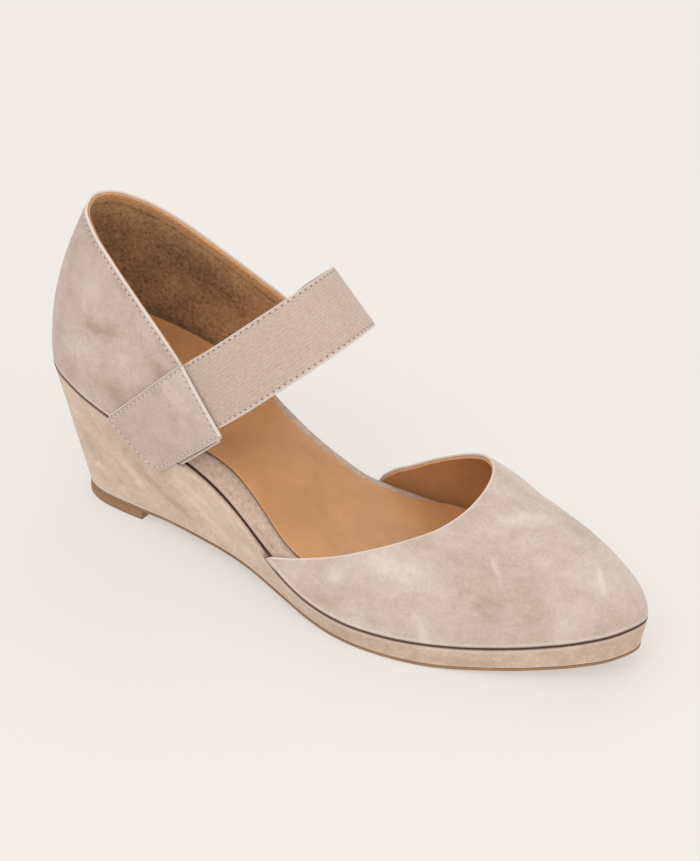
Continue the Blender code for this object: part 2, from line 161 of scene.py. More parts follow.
# Throat line in plan, from the lateral wing over the instep to the medial wing: x, y.
THROAT_LATERAL = (
    (117.4, -37.3),
    (124.8, -36.0),
    (135.9, -33.8),
    (147.0, -31.6),
    (157.5, -28.8),
    (166.5, -24.0),
    (174.2, -17.0),
    (178.6, -8.0),
)
THROAT_CENTRE = (179.6, 1.0)
THROAT_MEDIAL = (
    (178.4, 8.8),
    (175.6, 15.8),
    (171.6, 21.2),
    (166.6, 25.2),
    (160.8, 28.7),
    (154.4, 30.9),
    (147.0, 31.9),
    (140.0, 31.8),
    (132.8, 31.1),
    (125.7, 29.9),
    (119.4, 29.2),
)

# Collar line from the lateral front corner round the heel to the medial front corner: x, y, z.
COLLAR_LATERAL = (
    (93.0, -34.0, 59.7),
    (84.6, -31.9, 71.8),
    (73.9, -29.2, 81.3),
    (61.4, -26.2, 90.6),
    (48.0, -22.6, 99.2),
    (34.8, -18.4, 107.2),
    (23.4, -13.9, 113.8),
    (15.6, -8.0, 118.6),
)
COLLAR_BACK = (13.0, 0.0, 120.4)
COLLAR_MEDIAL = (
    (15.6, 8.6, 119.2),
    (23.4, 14.6, 116.0),
    (35.8, 18.0, 111.4),
    (51.8, 19.8, 104.5),
    (68.1, 21.1, 97.0),
    (84.6, 22.7, 88.4),
    (93.6, 23.9, 80.8),
    (101.4, 25.0, 73.4),
)

# Space kept from the outline: x, at the footbed's bottom edge, at its top edge on the lateral and the medial
# side, at the sock's edge on the lateral and the medial side.
FOOTBED_INSET = (
    (0.0, 2.8, 3.4, 3.4, 4.6, 4.6),
    (74.0, 2.6, 3.8, 3.6, 5.2, 6.4),
    (90.0, 2.6, 4.6, 4.6, 8.8, 9.2),
    (104.0, 2.4, 4.8, 4.4, 8.2, 9.2),
    (118.0, 2.9, 5.4, 4.8, 7.0, 9.8),
    (131.0, 3.6, 6.6, 4.8, 7.8, 10.0),
    (150.0, 3.8, 7.0, 4.6, 8.2, 5.8),
    (170.0, 3.4, 5.8, 4.8, 7.2, 6.0),
    (200.0, 3.2, 5.2, 5.2, 6.6, 6.6),
    (225.0, 3.2, 5.6, 5.6, 6.8, 6.8),
    (244.0, 3.4, 6.6, 6.6, 7.8, 7.8),
)

# Free arch of the strap, seen along the instep: height above the tab, y, y shift of its toe edge.
STRAP_ARCH = (
    (13.7, -28.9, -5.0),
    (27.7, -23.8, -4.6),
    (39.7, -17.4, -4.0),
    (46.5, -8.6, -3.2),
    (48.3, 1.0, -2.4),
    (45.9, 10.4, -1.4),
    (39.9, 17.8, -0.4),
    (30.9, 21.6, 0.6),
    (20.5, 22.2, 1.4),
)

# Side-view corners of the tab: x, z at its heel side, x, z at its toe side.
TAB_LOWER_END = (41.2, 51.2, 64.0, 36.2)
TAB_UPPER_END = (76.0, 84.1, 97.3, 64.3)

# The next eight tables hold soft forms, brushed tones and the heel lining's painted light and shade, one to a
# row: two coordinates, direction in degrees, half length, half width, then height or tone. Those of the sock
# and the vamp are placed in plan, by x and y, and the others in side view, by x and z.

# Hollows that a foot has worn into the sock, under its heel and its ball.
SOCK_HOLLOWS = (
    (40.0, 0.0, 0.0, 26.0, 17.0, 0.7),
    (165.0, 0.0, 0.0, 24.0, 24.0, 0.5),
)

# Creases of the vamp.
VAMP_CREASES = (
    (187.0, 4.0, 84.0, 24.0, 4.5, -0.35),
    (196.0, 7.0, 88.0, 22.0, 5.0, 0.22),
    (172.0, -24.0, 40.0, 13.0, 4.0, -0.30),
    (168.0, 34.0, 150.0, 12.0, 4.0, -0.28),
    (216.0, -4.0, 60.0, 12.0, 5.0, -0.22),
)

# Creases of the quarter, the same on both sides.
QUARTER_CREASES = (
    (46.0, 84.0, -36.0, 24.0, 5.0, -0.35),
    (30.0, 70.0, -20.0, 18.0, 5.0, 0.30),
    (22.0, 98.0, 60.0, 12.0, 4.0, -0.30),
    (62.0, 62.0, -40.0, 15.0, 4.0, -0.28),
)

# Pulls in the wedge's cover.
WEDGE_PULLS = (
    (34.0, 36.0, -58.0, 16.0, 4.0, -0.25),
    (62.0, 28.0, -30.0, 20.0, 3.6, 0.22),
    (88.0, 20.0, -34.0, 16.0, 3.4, -0.22),
    (16.0, 40.0, 76.0, 12.0, 3.0, 0.20),
)

# Brushed patches in the vamp's nap.
VAMP_NAP = (
    (143.7, -36.1, 0.0, 3.6, 1.8, 0.9),
    (168.0, -30.6, 6.0, 17.0, 3.0, 0.75),
    (197.0, -16.9, -30.0, 4.0, 0.8, 1.0),
    (228.4, 0.2, -49.0, 4.2, 1.0, 1.1),
    (197.0, 4.0, 50.0, 11.0, 3.2, 0.6),
    (193.0, -21.4, -18.0, 15.0, 8.0, -0.4),
    (210.0, -17.0, -24.0, 9.0, 5.0, -0.35),
    (180.5, -35.6, 0.0, 3.4, 0.8, 0.8),
    (141.0, -41.0, 0.0, 7.0, 1.4, -0.5),
    (154.0, -40.6, 0.0, 8.0, 1.6, 0.4),
    (182.0, -15.0, 40.0, 9.0, 4.0, 0.3),
    (222.0, -15.0, -40.0, 7.0, 3.0, 0.3),
    (212.0, 20.0, 60.0, 12.0, 6.0, -0.3),
    (186.0, 24.0, 20.0, 14.0, 5.0, 0.3),
)

# Brushed patches in the quarter's nap.
QUARTER_NAP = (
    (32.6, 82.0, -10.0, 6.5, 2.4, -1.0),
    (40.0, 83.5, 10.0, 4.0, 2.0, -0.7),
    (23.3, 72.7, 10.0, 7.0, 4.0, 0.5),
    (45.0, 61.6, -20.0, 7.0, 3.4, -0.8),
    (64.5, 76.9, -38.0, 8.0, 3.0, -0.7),
    (27.2, 94.4, 70.0, 9.0, 5.0, 0.5),
    (20.9, 60.0, 80.0, 6.0, 4.0, -0.4),
    (46.0, 76.0, -30.0, 9.0, 4.0, 0.45),
    (14.0, 84.0, 80.0, 10.0, 4.0, -0.3),
)

# Brushed patches in the wedge's nap.
WEDGE_NAP = (
    (24.3, 30.4, 70.0, 6.0, 3.4, -0.6),
    (44.9, 25.7, -58.0, 9.0, 2.4, 0.9),
    (29.1, 18.0, -30.0, 7.0, 3.0, 0.4),
    (73.9, 32.8, -34.0, 11.0, 2.4, 0.7),
    (56.0, 25.0, -50.0, 9.0, 2.6, -0.7),
    (79.0, 22.3, -28.0, 12.0, 1.8, 0.6),
    (66.0, 19.0, -24.0, 11.0, 2.2, -0.6),
    (29.1, 43.0, -30.0, 8.0, 2.6, -0.5),
    (99.0, 19.2, -26.0, 10.0, 1.8, 0.5),
)

# Painted shade and painted light in the heel's lining, as dark and light patches.
LINING_LIGHT_AND_SHADE = (
    (44.0, 88.0, -38.0, 16.0, 8.0, -0.6),
    (70.0, 84.0, -40.0, 12.0, 6.0, 0.3),
    (30.0, 80.0, 60.0, 10.0, 6.0, 0.15),
    (62.0, 66.0, -30.0, 20.0, 9.0, 0.6),
)

# Where the wedge's top lies open between quarter and vamp: x ranges of its start and end.
OPEN_SIDE_BACK = (71.0, 75.0)
OPEN_SIDE_FRONT = (112.0, 117.0)

# Strength of the painted shade in the seam where upper and wedge meet.
SEAM_SHADE = 0.88

# Height of the outsole's edge that the wedge's cover leaves open.
OUTSOLE_SHOWN = 1.05

# Space between the wedge's cover and the sole, and between a face and its lining.
LAYER_GAP = 0.05

# Rounding of cut edges, of the tab's thicker edge and of the lift's front edge.
CUT_ROUND = 0.2
TAB_ROUND = 0.5
LIFT_ROUND = 0.25

# Depth and half width of the groove that stitches pull into the tab and the strap.
SEWN_DEPTH = 0.25
SEWN_WIDTH = 0.45

# How far the strap's backing stays inside the edges of the elastic.
BACKING_INSET = 0.7

# Depth of a thread's middle below the collar's face and below the tab's and the strap's, and its rise on the
# inside of the shoe.
COLLAR_THREAD_DEPTH = 0.12
STRAP_THREAD_DEPTH = 0.2
INNER_THREAD_RISE = 0.02

# Length over which the tab eases round the collar's edge below it, and its space from the quarter.
TAB_BEND = 2.5
TAB_SPACE = 1.6 * SEAM_GAP

# Shares of the tab's length between which it climbs onto the strap.
TAB_CLIMB = (1 - 2.1 * STRAP_TUCK, 1 - 1.1 * STRAP_TUCK)

# Shares of the quarter's height that the strap's inner end passes on its way down.
STRAP_END_HEIGHTS = (1.0, 0.91, 0.82)

# Share of its height that the vamp keeps at the tip of its medial wing, and share of its length that tapers.
WING_TIP = 0.3
WING_TAPER = 0.015

# Shares of the length by which the vamp's lining and the collar's stitches end before the face does.
LINING_END = 0.005
COLLAR_ROW_END = 0.012

# Share of the strap's length between the tab and its first stitch, and share at its last stitch.
STRAP_ROW_START = 0.01
STRAP_ROW_END = 0.97

# Range of x over which the wedge turns into the platform, and the platform's tone.
PLATFORM_START = (105.0, 150.0)
PLATFORM_NAP = -0.5

# Steps along the shoe and across the top and bottom of each layer.
OUTSOLE_STEPS = (180, 16)
LIFT_STEPS = (40, 12)
WEDGE_STEPS = (260, 10)
BED_STEPS = (220, 10)
SOCK_STEPS = (220, 24)

# Edges of a flat piece that turn by more than this are rounded.
SHARP_ANGLE = math.radians(60)

# Step in u and v for a face's direction, numbers of points on fine lines, distances for merging vertices.
NORMAL_STEP = 0.004
LINE_POINTS = 400
TAB_LINE_POINTS = 500
MERGE_DISTANCE = 0.004
SLIVER = 0.002

# Range that holds most of a noise pattern's values.
NOISE_RANGE = (0.3, 0.7)

# Studio: name, place, width and power setting of each light, and the colour of all light.
LIGHTS = (
    ("key_light", (0.2, -1.3, 1.8), 1.6, "key_power"),
    ("fill_light", (1.7, -0.5, 1.1), 1.4, "fill_power"),
    ("back_light", (-0.4, 1.5, 1.6), 1.4, "fill_power"),
)
LIGHT_AIM = (0.0, 0.0, 0.04)
LIGHT_COLOUR = (1.0, 0.985, 0.965)

# Floor, in metres: radius of its far curve, drop below the sole, steps of the curve and of the full turn.
FLOOR_CURVE = 1.2
FLOOR_DROP = 0.0002
FLOOR_CURVE_STEPS = 9
FLOOR_STEPS = 96

TILT = math.radians(STRAP_TILT_DEG)
ARCH_UP = np.array([math.sin(TILT), math.cos(TILT)])


def number_property(name, description, default, **settings):
    return bpy.props.FloatProperty(name=name, description=description, default=default, **settings)


def length_property(name, description, default):
    """A length in metres, shown in the scene's unit."""
    return number_property(
        name, description, default, min=0.0, precision=5, subtype="DISTANCE", unit="LENGTH"
    )


def angle_property(name, description, degrees):
    return number_property(name, description, math.radians(degrees), subtype="ANGLE")


def colour_property(name, description, default):
    """A linear colour."""
    return bpy.props.FloatVectorProperty(
        name=name, description=description, default=default, size=3, min=0.0, max=1.0, subtype="COLOR"
    )


class WedgeShoeSizes(bpy.types.PropertyGroup):
    """Sizes of the fine work."""

    suede_thickness: length_property("Suede", "Thickness of the folded suede of the upper", 0.0010)
    edge_round: length_property("Edge round", "Radius of folded suede edges", 0.00045)
    seam_round: length_property("Seam round", "Radius of the wedge's cover at the seam", 0.0006)
    lining_drop: length_property("Lining drop", "How far the lining ends below the upper's edge", 0.0004)
    elastic_thickness: length_property("Elastic", "Thickness of the strap's elastic", 0.001)
    rib_pitch: length_property("Rib pitch", "Distance between the elastic's ribs", 0.00118)
    rib_height: length_property("Rib height", "Height of the elastic's ribs", 0.00008)
    stitch_pitch: length_property("Stitch pitch", "Distance between needle holes", 0.0025)
    stitch_length: length_property("Stitch length", "Length of thread that shows", 0.0019)
    thread_width: length_property("Thread", "Width of the thread", 0.0006)
    hole_width: length_property("Needle hole", "Width of a needle hole", 0.00065)
    collar_margin: length_property("Collar margin", "Distance from the collar's edge to its stitches", 0.0016)
    tab_margin: length_property("Tab margin", "Distance from the tab's edge to its stitches", 0.0013)
    strap_margin: length_property("Strap margin", "Distance from the strap's edge to its stitches", 0.0010)


class WedgeShoeColours(bpy.types.PropertyGroup):
    """Colours of the materials."""

    suede_light: colour_property("Suede light", "Suede with its nap towards the light", (0.70, 0.60, 0.545))
    suede_dark: colour_property("Suede dark", "Suede where the nap is brushed away", (0.435, 0.325, 0.265))
    suede_edge: colour_property("Suede edge", "Folded and cut edges of the suede", (0.74, 0.655, 0.61))
    wedge_light: colour_property("Wedge light", "Light tone of the wedge's suede", (0.775, 0.63, 0.518))
    wedge_dark: colour_property("Wedge dark", "Dark tone of the wedge's suede", (0.495, 0.364, 0.277))
    seam_brown: colour_property("Seam", "Shadowed brown in the seam", (0.07, 0.030, 0.024))
    mauve_light: colour_property("Footbed light", "Light tone of the footbed's cover", (0.68, 0.52, 0.42))
    mauve_dark: colour_property("Footbed dark", "Dark tone of the footbed's cover", (0.37, 0.265, 0.21))
    elastic: colour_property("Elastic", "Ribs of the elastic", (0.61, 0.48, 0.405))
    # The elastic's valley colour is painted shade between the ribs.
    elastic_dark: colour_property("Elastic valley", "Valleys between the ribs", (0.45, 0.34, 0.282))
    leather_light: colour_property("Leather light", "Light tone of the tan leather", (0.645, 0.335, 0.145))
    leather_dark: colour_property("Leather dark", "Dark tone of the tan leather", (0.49, 0.24, 0.097))
    lining_light: colour_property("Heel lining light", "Light tone of the heel's lining", (0.60, 0.36, 0.18))
    lining_dark: colour_property("Heel lining dark", "Pores of the heel's lining", (0.185, 0.088, 0.036))
    rubber: colour_property("Rubber", "Sole and heel lift", (0.37, 0.212, 0.108))
    rubber_dark: colour_property("Rubber dark", "Streaks in the sole and heel lift", (0.25, 0.135, 0.066))
    thread: colour_property("Thread", "Sewing thread", (0.74, 0.64, 0.57))
    # The needle hole colour is painted shade in the holes.
    needle_hole: colour_property("Needle hole", "Needle holes", (0.27, 0.195, 0.155))


class WedgeShoeStage(bpy.types.PropertyGroup):
    """Camera, floor and light."""

    camera_azimuth: angle_property("Azimuth", "Camera's turn from the outer side towards the toe", 32.73)
    camera_elevation: angle_property("Elevation", "Camera's height above the horizon", 31.21)
    camera_roll: angle_property("Roll", "Camera's roll, right side up", 1.19)
    camera_distance: length_property("Distance", "Camera's distance from its aim", 0.9158)
    camera_aim: bpy.props.FloatVectorProperty(
        name="Aim", description="Point that the camera looks at", default=(0.0001, 0.007, 0.0543), size=3,
        subtype="TRANSLATION", unit="LENGTH",
    )
    camera_lens: number_property("Lens", "Focal length", 107.0, min=1.0, unit="CAMERA")
    floor_colour: colour_property("Floor", "Pale floor", (0.32, 0.31, 0.296))
    floor_glow_colour: colour_property("Floor glow", "Light from under the floor", (0.871, 0.831, 0.783))
    floor_glow: number_property("Glow strength", "How much light comes from under the floor", 0.6, min=0.0)
    floor_radius: length_property("Floor radius", "Where the floor starts to curve up", 2.4)
    ambient: number_property("Ambient", "Light from all round", 0.78, min=0.0)
    key_power: number_property("Key", "Main soft light", 15.5, min=0.0, unit="POWER")
    fill_power: number_property("Fill", "Light from the toe and from behind", 5.2, min=0.0, unit="POWER")


def spline(knots, values, at):
    """Smooth curve through the values at the knots, read at the given places."""
    knots = np.asarray(knots, float)
    values = np.asarray(values, float)
    at = np.asarray(at, float)
    slopes = np.gradient(values, knots, axis=0)
    i = np.clip(np.searchsorted(knots, at, side="right") - 1, 0, len(knots) - 2)
    span = knots[i + 1] - knots[i]
    t = (at - knots[i]) / span
    if values.ndim > 1:
        t, span = t[..., None], span[..., None]
    return hermite(values[i], slopes[i] * span, values[i + 1], slopes[i + 1] * span, t)


def hermite(start, start_slope, end, end_slope, t):
    """Cubic curve between two points with the given slopes."""
    a = (1 + 2 * t) * (1 - t) ** 2
    b = t * (1 - t) ** 2
    c = t * t * (3 - 2 * t)
    d = t * t * (t - 1)
    return a * start + b * start_slope + c * end + d * end_slope


def column(table, index, at):
    """One column of a table, read smoothly by its first column."""
    rows = np.array(table)
    return spline(rows[:, 0], rows[:, index], np.clip(at, rows[0, 0], rows[-1, 0]))


def ease(low, high, at):
    """0 below low, 1 above high and a smooth step between them."""
    t = np.clip((at - low) / (high - low), 0, 1)
    return t * t * (3 - 2 * t)


def bell(at, middle, half_width):
    """Bell curve that is 1 at its middle and about a third at its half width."""
    return np.exp(-(((at - middle) / half_width) ** 2))


def unit(vectors):
    return vectors / np.linalg.norm(vectors, axis=-1, keepdims=True)


def chord_lengths(points):
    steps = np.linalg.norm(np.diff(points, axis=0), axis=1)
    return np.concatenate([[0.0], np.cumsum(steps)])


class Outline:
    """The closed plan outline, measured by s from the heel's back, lateral side first, toe, medial side."""

    def __init__(self):
        lateral = [(x, y) for x, y, _ in OUTLINE]
        medial = [(x, y) for x, _, y in OUTLINE]
        ring = [(0.0, 0.0), *lateral, (SHOE_LENGTH, TOE_TIP_Y), *reversed(medial)]
        self.points = np.array(ring * 3)
        lengths = chord_lengths(self.points)
        self.total = lengths[len(ring)]
        self.lengths = lengths - self.total
        self.toe = self.lengths[len(ring) + len(OUTLINE) + 1]
        self.fine = np.linspace(0, self.total, 2001)
        self.fine_x, self.fine_y = self.at(self.fine).T

    def at(self, s):
        return spline(self.lengths, self.points, s)

    def outward(self, s):
        """Unit normal in plan, pointing out of the shoe."""
        tangent = self.at(s + 0.5) - self.at(s - 0.5)
        return unit(np.stack([tangent[..., 1], -tangent[..., 0]], axis=-1))

    def side(self, medial):
        """Fine samples of s, x and y on one side, with x rising."""
        pick = self.fine >= self.toe if medial else self.fine <= self.toe
        order = slice(None, None, -1) if medial else slice(None)
        return self.fine[pick][order], self.fine_x[pick][order], self.fine_y[pick][order]

    def s_at(self, x, medial):
        s, xs, _ = self.side(medial)
        return float(np.interp(x, xs, s))

    def y_at(self, x, medial):
        _, xs, ys = self.side(medial)
        return np.interp(x, xs, ys)

    def s_of_share(self, u, medial):
        return self.total - u * (self.total - self.toe) if medial else u * self.toe


PLAN = Outline()


def frame_shift():
    """Millimetres from the pattern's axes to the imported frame, found by the wedge's box."""
    low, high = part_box("wedge")
    x = (low.x + high.x) / 2 / MM - (PLAN.fine_x.min() + PLAN.fine_x.max()) / 2
    y = (low.y + high.y) / 2 / MM - (PLAN.fine_y.min() + PLAN.fine_y.max()) / 2
    return np.array([x, y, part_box("heel_lift")[0].z / MM])


SHIFT = frame_shift()


def seam_height(x):
    return column(PROFILE, 1, x)


def floor_height(x):
    return np.maximum(column(PROFILE, 2, x), 0.0)


def with_height(plan, z):
    return np.concatenate([plan, np.broadcast_to(z, plan.shape[:-1])[..., None]], axis=-1)


def bottom_point(plan):
    """Where a plan point of the seam outline comes out at the wedge's bottom."""
    x, y = plan[..., 0], plan[..., 1]
    x_bottom = x + HEEL_UNDERCUT * (1 - ease(0, HEEL_UNDERCUT_END_X, x))
    x_bottom = x_bottom - TOE_UNDERCUT * ease(TOE_UNDERCUT_START_X, SHOE_LENGTH, x)
    return np.stack([x_bottom, y * column(BOTTOM_WIDTH, 1, x)], axis=-1)


def last_height(x, y):
    """Height of the last's forefoot over the floor at a plan point."""
    past = np.clip((x - TOE_CAP_START_X) / (SHOE_LENGTH - TOE_CAP_START_X), 0, 1)
    ridge = column(FOREFOOT, 1, x) * np.sqrt(1 - past**2)
    middle = column(FOREFOOT, 2, x)
    lateral = y < middle
    half = np.where(lateral, middle - PLAN.y_at(x, False), PLAN.y_at(x, True) - middle)
    power = np.where(lateral, column(FOREFOOT, 3, x), column(FOREFOOT, 4, x))
    reach = np.clip(np.abs(y - middle) / np.maximum(half, 1e-6), 0, 1)
    return seam_height(x) + SEAM_GAP + ridge * (1 - reach**power) ** (1 / power)


def halves(u, lateral_curve, medial_curve):
    """Point of a smooth curve given in a lateral and a medial half that meet at u = 0.5."""
    lateral, medial = chord_lengths(lateral_curve), chord_lengths(medial_curve)
    knots = np.concatenate([lateral / lateral[-1], 1 + medial[1:] / medial[-1]]) / 2
    return spline(knots, [*lateral_curve, *medial_curve[1:]], u)


def vamp_surface(u, v):
    """Outer face of the vamp: u from lateral wing by the toe to medial wing, v from seam to throat."""
    start = PLAN.s_at(VAMP_LATERAL_END_X, False)
    end = PLAN.s_at(VAMP_MEDIAL_END_X, True)
    base = PLAN.at(np.interp(u, (0, 0.5, 1), (start, PLAN.toe, end)))
    top = halves(u, [*THROAT_LATERAL, THROAT_CENTRE], [THROAT_CENTRE, *THROAT_MEDIAL])
    reach = 1 - np.cos(np.broadcast_to(v, u.shape) * math.pi / 2)
    plan = base + (top - base) * reach[:, None]
    return with_height(plan, last_height(plan[:, 0], plan[:, 1]))


def quarter_surface(u, v):
    """Outer face of the quarter: u from lateral front by the heel to medial front, v from seam to collar."""
    start = PLAN.s_at(QUARTER_LATERAL_FRONT_X, False)
    end = PLAN.s_at(QUARTER_MEDIAL_FRONT_X, True) - PLAN.total
    s = np.interp(u, (0, 0.5, 1), (start, 0, end))
    plan = PLAN.at(s)
    base = with_height(plan, seam_height(plan[:, 0]) + SEAM_GAP)
    top = halves(u, [*COLLAR_LATERAL, COLLAR_BACK], [COLLAR_BACK, *COLLAR_MEDIAL])
    v = np.broadcast_to(v, u.shape)
    rise = np.clip(v, 0, 1)
    swell = SIDE_BULGE + (HEEL_BULGE - SIDE_BULGE) * bell(u, 0.5, BULGE_SPREAD)
    swell = swell * 4 * rise * (1 - rise) * (1 + BULGE_LEAN - 2 * BULGE_LEAN * rise)
    out = with_height(PLAN.outward(s), 0.0)
    return base + (top - base) * v[:, None] + out * swell[:, None]


def outward(surface, u, v, low=0.0, high=1.0):
    """Unit normal of a face with u to its right and v upwards, from points close by that stay in a range."""
    left, right = np.clip((u - NORMAL_STEP, u + NORMAL_STEP), low, high)
    below, above = np.clip((v - NORMAL_STEP, v + NORMAL_STEP), low, high)
    return unit(np.cross(surface(right, v) - surface(left, v), surface(u, above) - surface(u, below)))


def quarter_outward(u, v):
    """The quarter's unit normal. Its u runs to the left, and it goes on past its edges."""
    return -outward(quarter_surface, u, v, -np.inf, np.inf)


def behind(points, normals, depth):
    return points - np.asarray(depth)[..., None] * normals


def above_wedge(points):
    """Points of a wall, lifted where its foot would reach into the wedge."""
    lowest = seam_height(points[:, 0]) + SEAM_GAP
    return with_height(points[:, :2], np.maximum(points[:, 2], lowest))


def vamp_at(u, v, depth):
    """A point of the vamp at a depth behind its outer face."""
    return above_wedge(behind(vamp_surface(u, v), outward(vamp_surface, u, v), depth))


def quarter_at(u, v, depth):
    """A point of the quarter at a depth behind its outer face, also past its edges."""
    return behind(quarter_surface(u, v), quarter_outward(u, v), depth)


def quarter_place(x, z):
    """The quarter's u and v under a point of the lateral side view, by Newton steps of limited length."""
    rounds, step, longest_u, longest_v = 25, 0.002, 0.08, 0.3
    u = np.full(x.shape, 0.15)
    v = np.full(x.shape, 0.5)
    for _ in range(rounds):
        here = quarter_surface(u, v)
        du = (quarter_surface(u + step, v) - here) / step
        dv = (quarter_surface(u, v + step) - here) / step
        miss_x, miss_z = x - here[:, 0], z - here[:, 2]
        det = du[:, 0] * dv[:, 2] - dv[:, 0] * du[:, 2]
        u = u + np.clip((miss_x * dv[:, 2] - dv[:, 0] * miss_z) / det, -longest_u, longest_u)
        v = v + np.clip((du[:, 0] * miss_z - miss_x * du[:, 2]) / det, -longest_v, longest_v)
    return u, v


def tab_place(across, upward):
    """Side-view place on the tab, from shares of its width and of its length from the lower end up."""
    ends = []
    for heel_x, heel_z, toe_x, toe_z in (TAB_LOWER_END, TAB_UPPER_END):
        heel, toe = np.array([heel_x, heel_z]), np.array([toe_x, toe_z])
        ends.append(heel + across[:, None] * (toe - heel))
    return ends[0] + (ends[1] - ends[0]) * np.asarray(upward)[..., None]


def tab_size():
    """Width at the lower end and length of the tab, in millimetres."""
    corners = tab_place(np.array([0.0, 1.0]), 0.0)
    middle = tab_place(np.full(2, 0.5), np.array([0.0, 1.0]))
    return np.linalg.norm(corners[1] - corners[0]), np.linalg.norm(middle[1] - middle[0])


TAB_WIDTH, TAB_LENGTH = tab_size()


def tab_at(across_mm, upward_mm, depth):
    """A point of the tab's flat pattern, at a depth behind its face, with its bend eased along its length."""
    spread = np.clip(np.minimum(upward_mm, TAB_LENGTH - upward_mm) / TAB_BEND, 0, 1) * TAB_BEND
    shifts = (-1.0, -0.5, 0.0, 0.5, 1.0)
    return sum(tab_point(across_mm, upward_mm + shift * spread, depth) for shift in shifts) / len(shifts)


def tab_point(across_mm, upward_mm, depth):
    """A point of the tab as it would lie with a sharp bend."""
    upward = upward_mm / TAB_LENGTH
    place = tab_place(across_mm / TAB_WIDTH, upward)
    lift = TAB_SPACE + TAB_THICKNESS + ease(*TAB_CLIMB, upward) * (STRAP_THICKNESS + SEAM_GAP)
    return quarter_at(*quarter_place(*place.T), depth - lift)


def strap_rows(u):
    """Rows of points along the strap's outer face, from under the tab over the instep into the quarter."""
    across = STRAP_HEEL_MARGIN + u * (1 - STRAP_HEEL_MARGIN - STRAP_TOE_MARGIN)
    rows = []
    for upward in (1 - STRAP_TUCK, 1 - STRAP_TUCK / 2, 1.0):
        place = tab_place(across, upward)
        rows.append(quarter_at(*quarter_place(*place.T), -SEAM_GAP - STRAP_THICKNESS))
    for height, y, toe_shift in STRAP_ARCH:
        place = tab_place(across, 1.0) + height * ARCH_UP
        rows.append(np.stack([place[:, 0], y + toe_shift * u, place[:, 1]], axis=-1))
    medial = np.linspace(0.5, 1, LINE_POINTS)
    end_x = STRAP_MEDIAL_HEEL_X + (STRAP_MEDIAL_TOE_X - STRAP_MEDIAL_HEEL_X) * u
    shares = np.interp(end_x, quarter_surface(medial, 1.0)[:, 0], medial)
    for v in STRAP_END_HEIGHTS:
        rows.append(quarter_at(shares, v, UPPER_THICKNESS + SEAM_GAP))
    return np.array(rows)


STRAP_LENGTHS = chord_lengths(strap_rows(np.linspace(0, 1, 6)).mean(axis=1))
STRAP_KNOTS = STRAP_LENGTHS / STRAP_LENGTHS[-1]
STRAP_LENGTH = STRAP_LENGTHS[-1]
STRAP_WIDTH = TAB_WIDTH * (1 - STRAP_HEEL_MARGIN - STRAP_TOE_MARGIN)
STRAP_SIZE = (STRAP_WIDTH, STRAP_LENGTH)


def strap_surface(u, v):
    """Outer face of the strap: u across its width from heel to toe side, v along it."""
    columns, place = np.unique(u, return_inverse=True)
    rows = strap_rows(columns)
    slopes = np.gradient(rows, STRAP_KNOTS, axis=0)
    i = np.clip(np.searchsorted(STRAP_KNOTS, v, side="right") - 1, 0, len(STRAP_KNOTS) - 2)
    span = (STRAP_KNOTS[i + 1] - STRAP_KNOTS[i])[:, None]
    t = (v - STRAP_KNOTS[i])[:, None] / span
    start, end = rows[i, place], rows[i + 1, place]
    return hermite(start, slopes[i, place] * span, end, slopes[i + 1, place] * span, t)


def strap_at(u, v, depth):
    """A point of the strap at a depth behind its outer face."""
    return behind(strap_surface(u, v), outward(strap_surface, u, v), depth)


def soft_relief(table, x, y):
    """Sum of soft troughs and ridges placed by a table, at the given places."""
    height = np.zeros(np.shape(x))
    for centre_x, centre_y, turn, half_length, half_width, amount in table:
        c, s = math.cos(math.radians(turn)), math.sin(math.radians(turn))
        run = (x - centre_x) * c + (y - centre_y) * s
        side = (y - centre_y) * c - (x - centre_x) * s
        height = height + amount * bell(run, 0, half_length) * bell(side, 0, half_width)
    return height


def to_frame(points):
    """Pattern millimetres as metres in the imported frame."""
    return (points + SHIFT) * MM


def sizes():
    return bpy.context.scene.wedge_shoe_sizes


def colours():
    return bpy.context.scene.wedge_shoe_colours


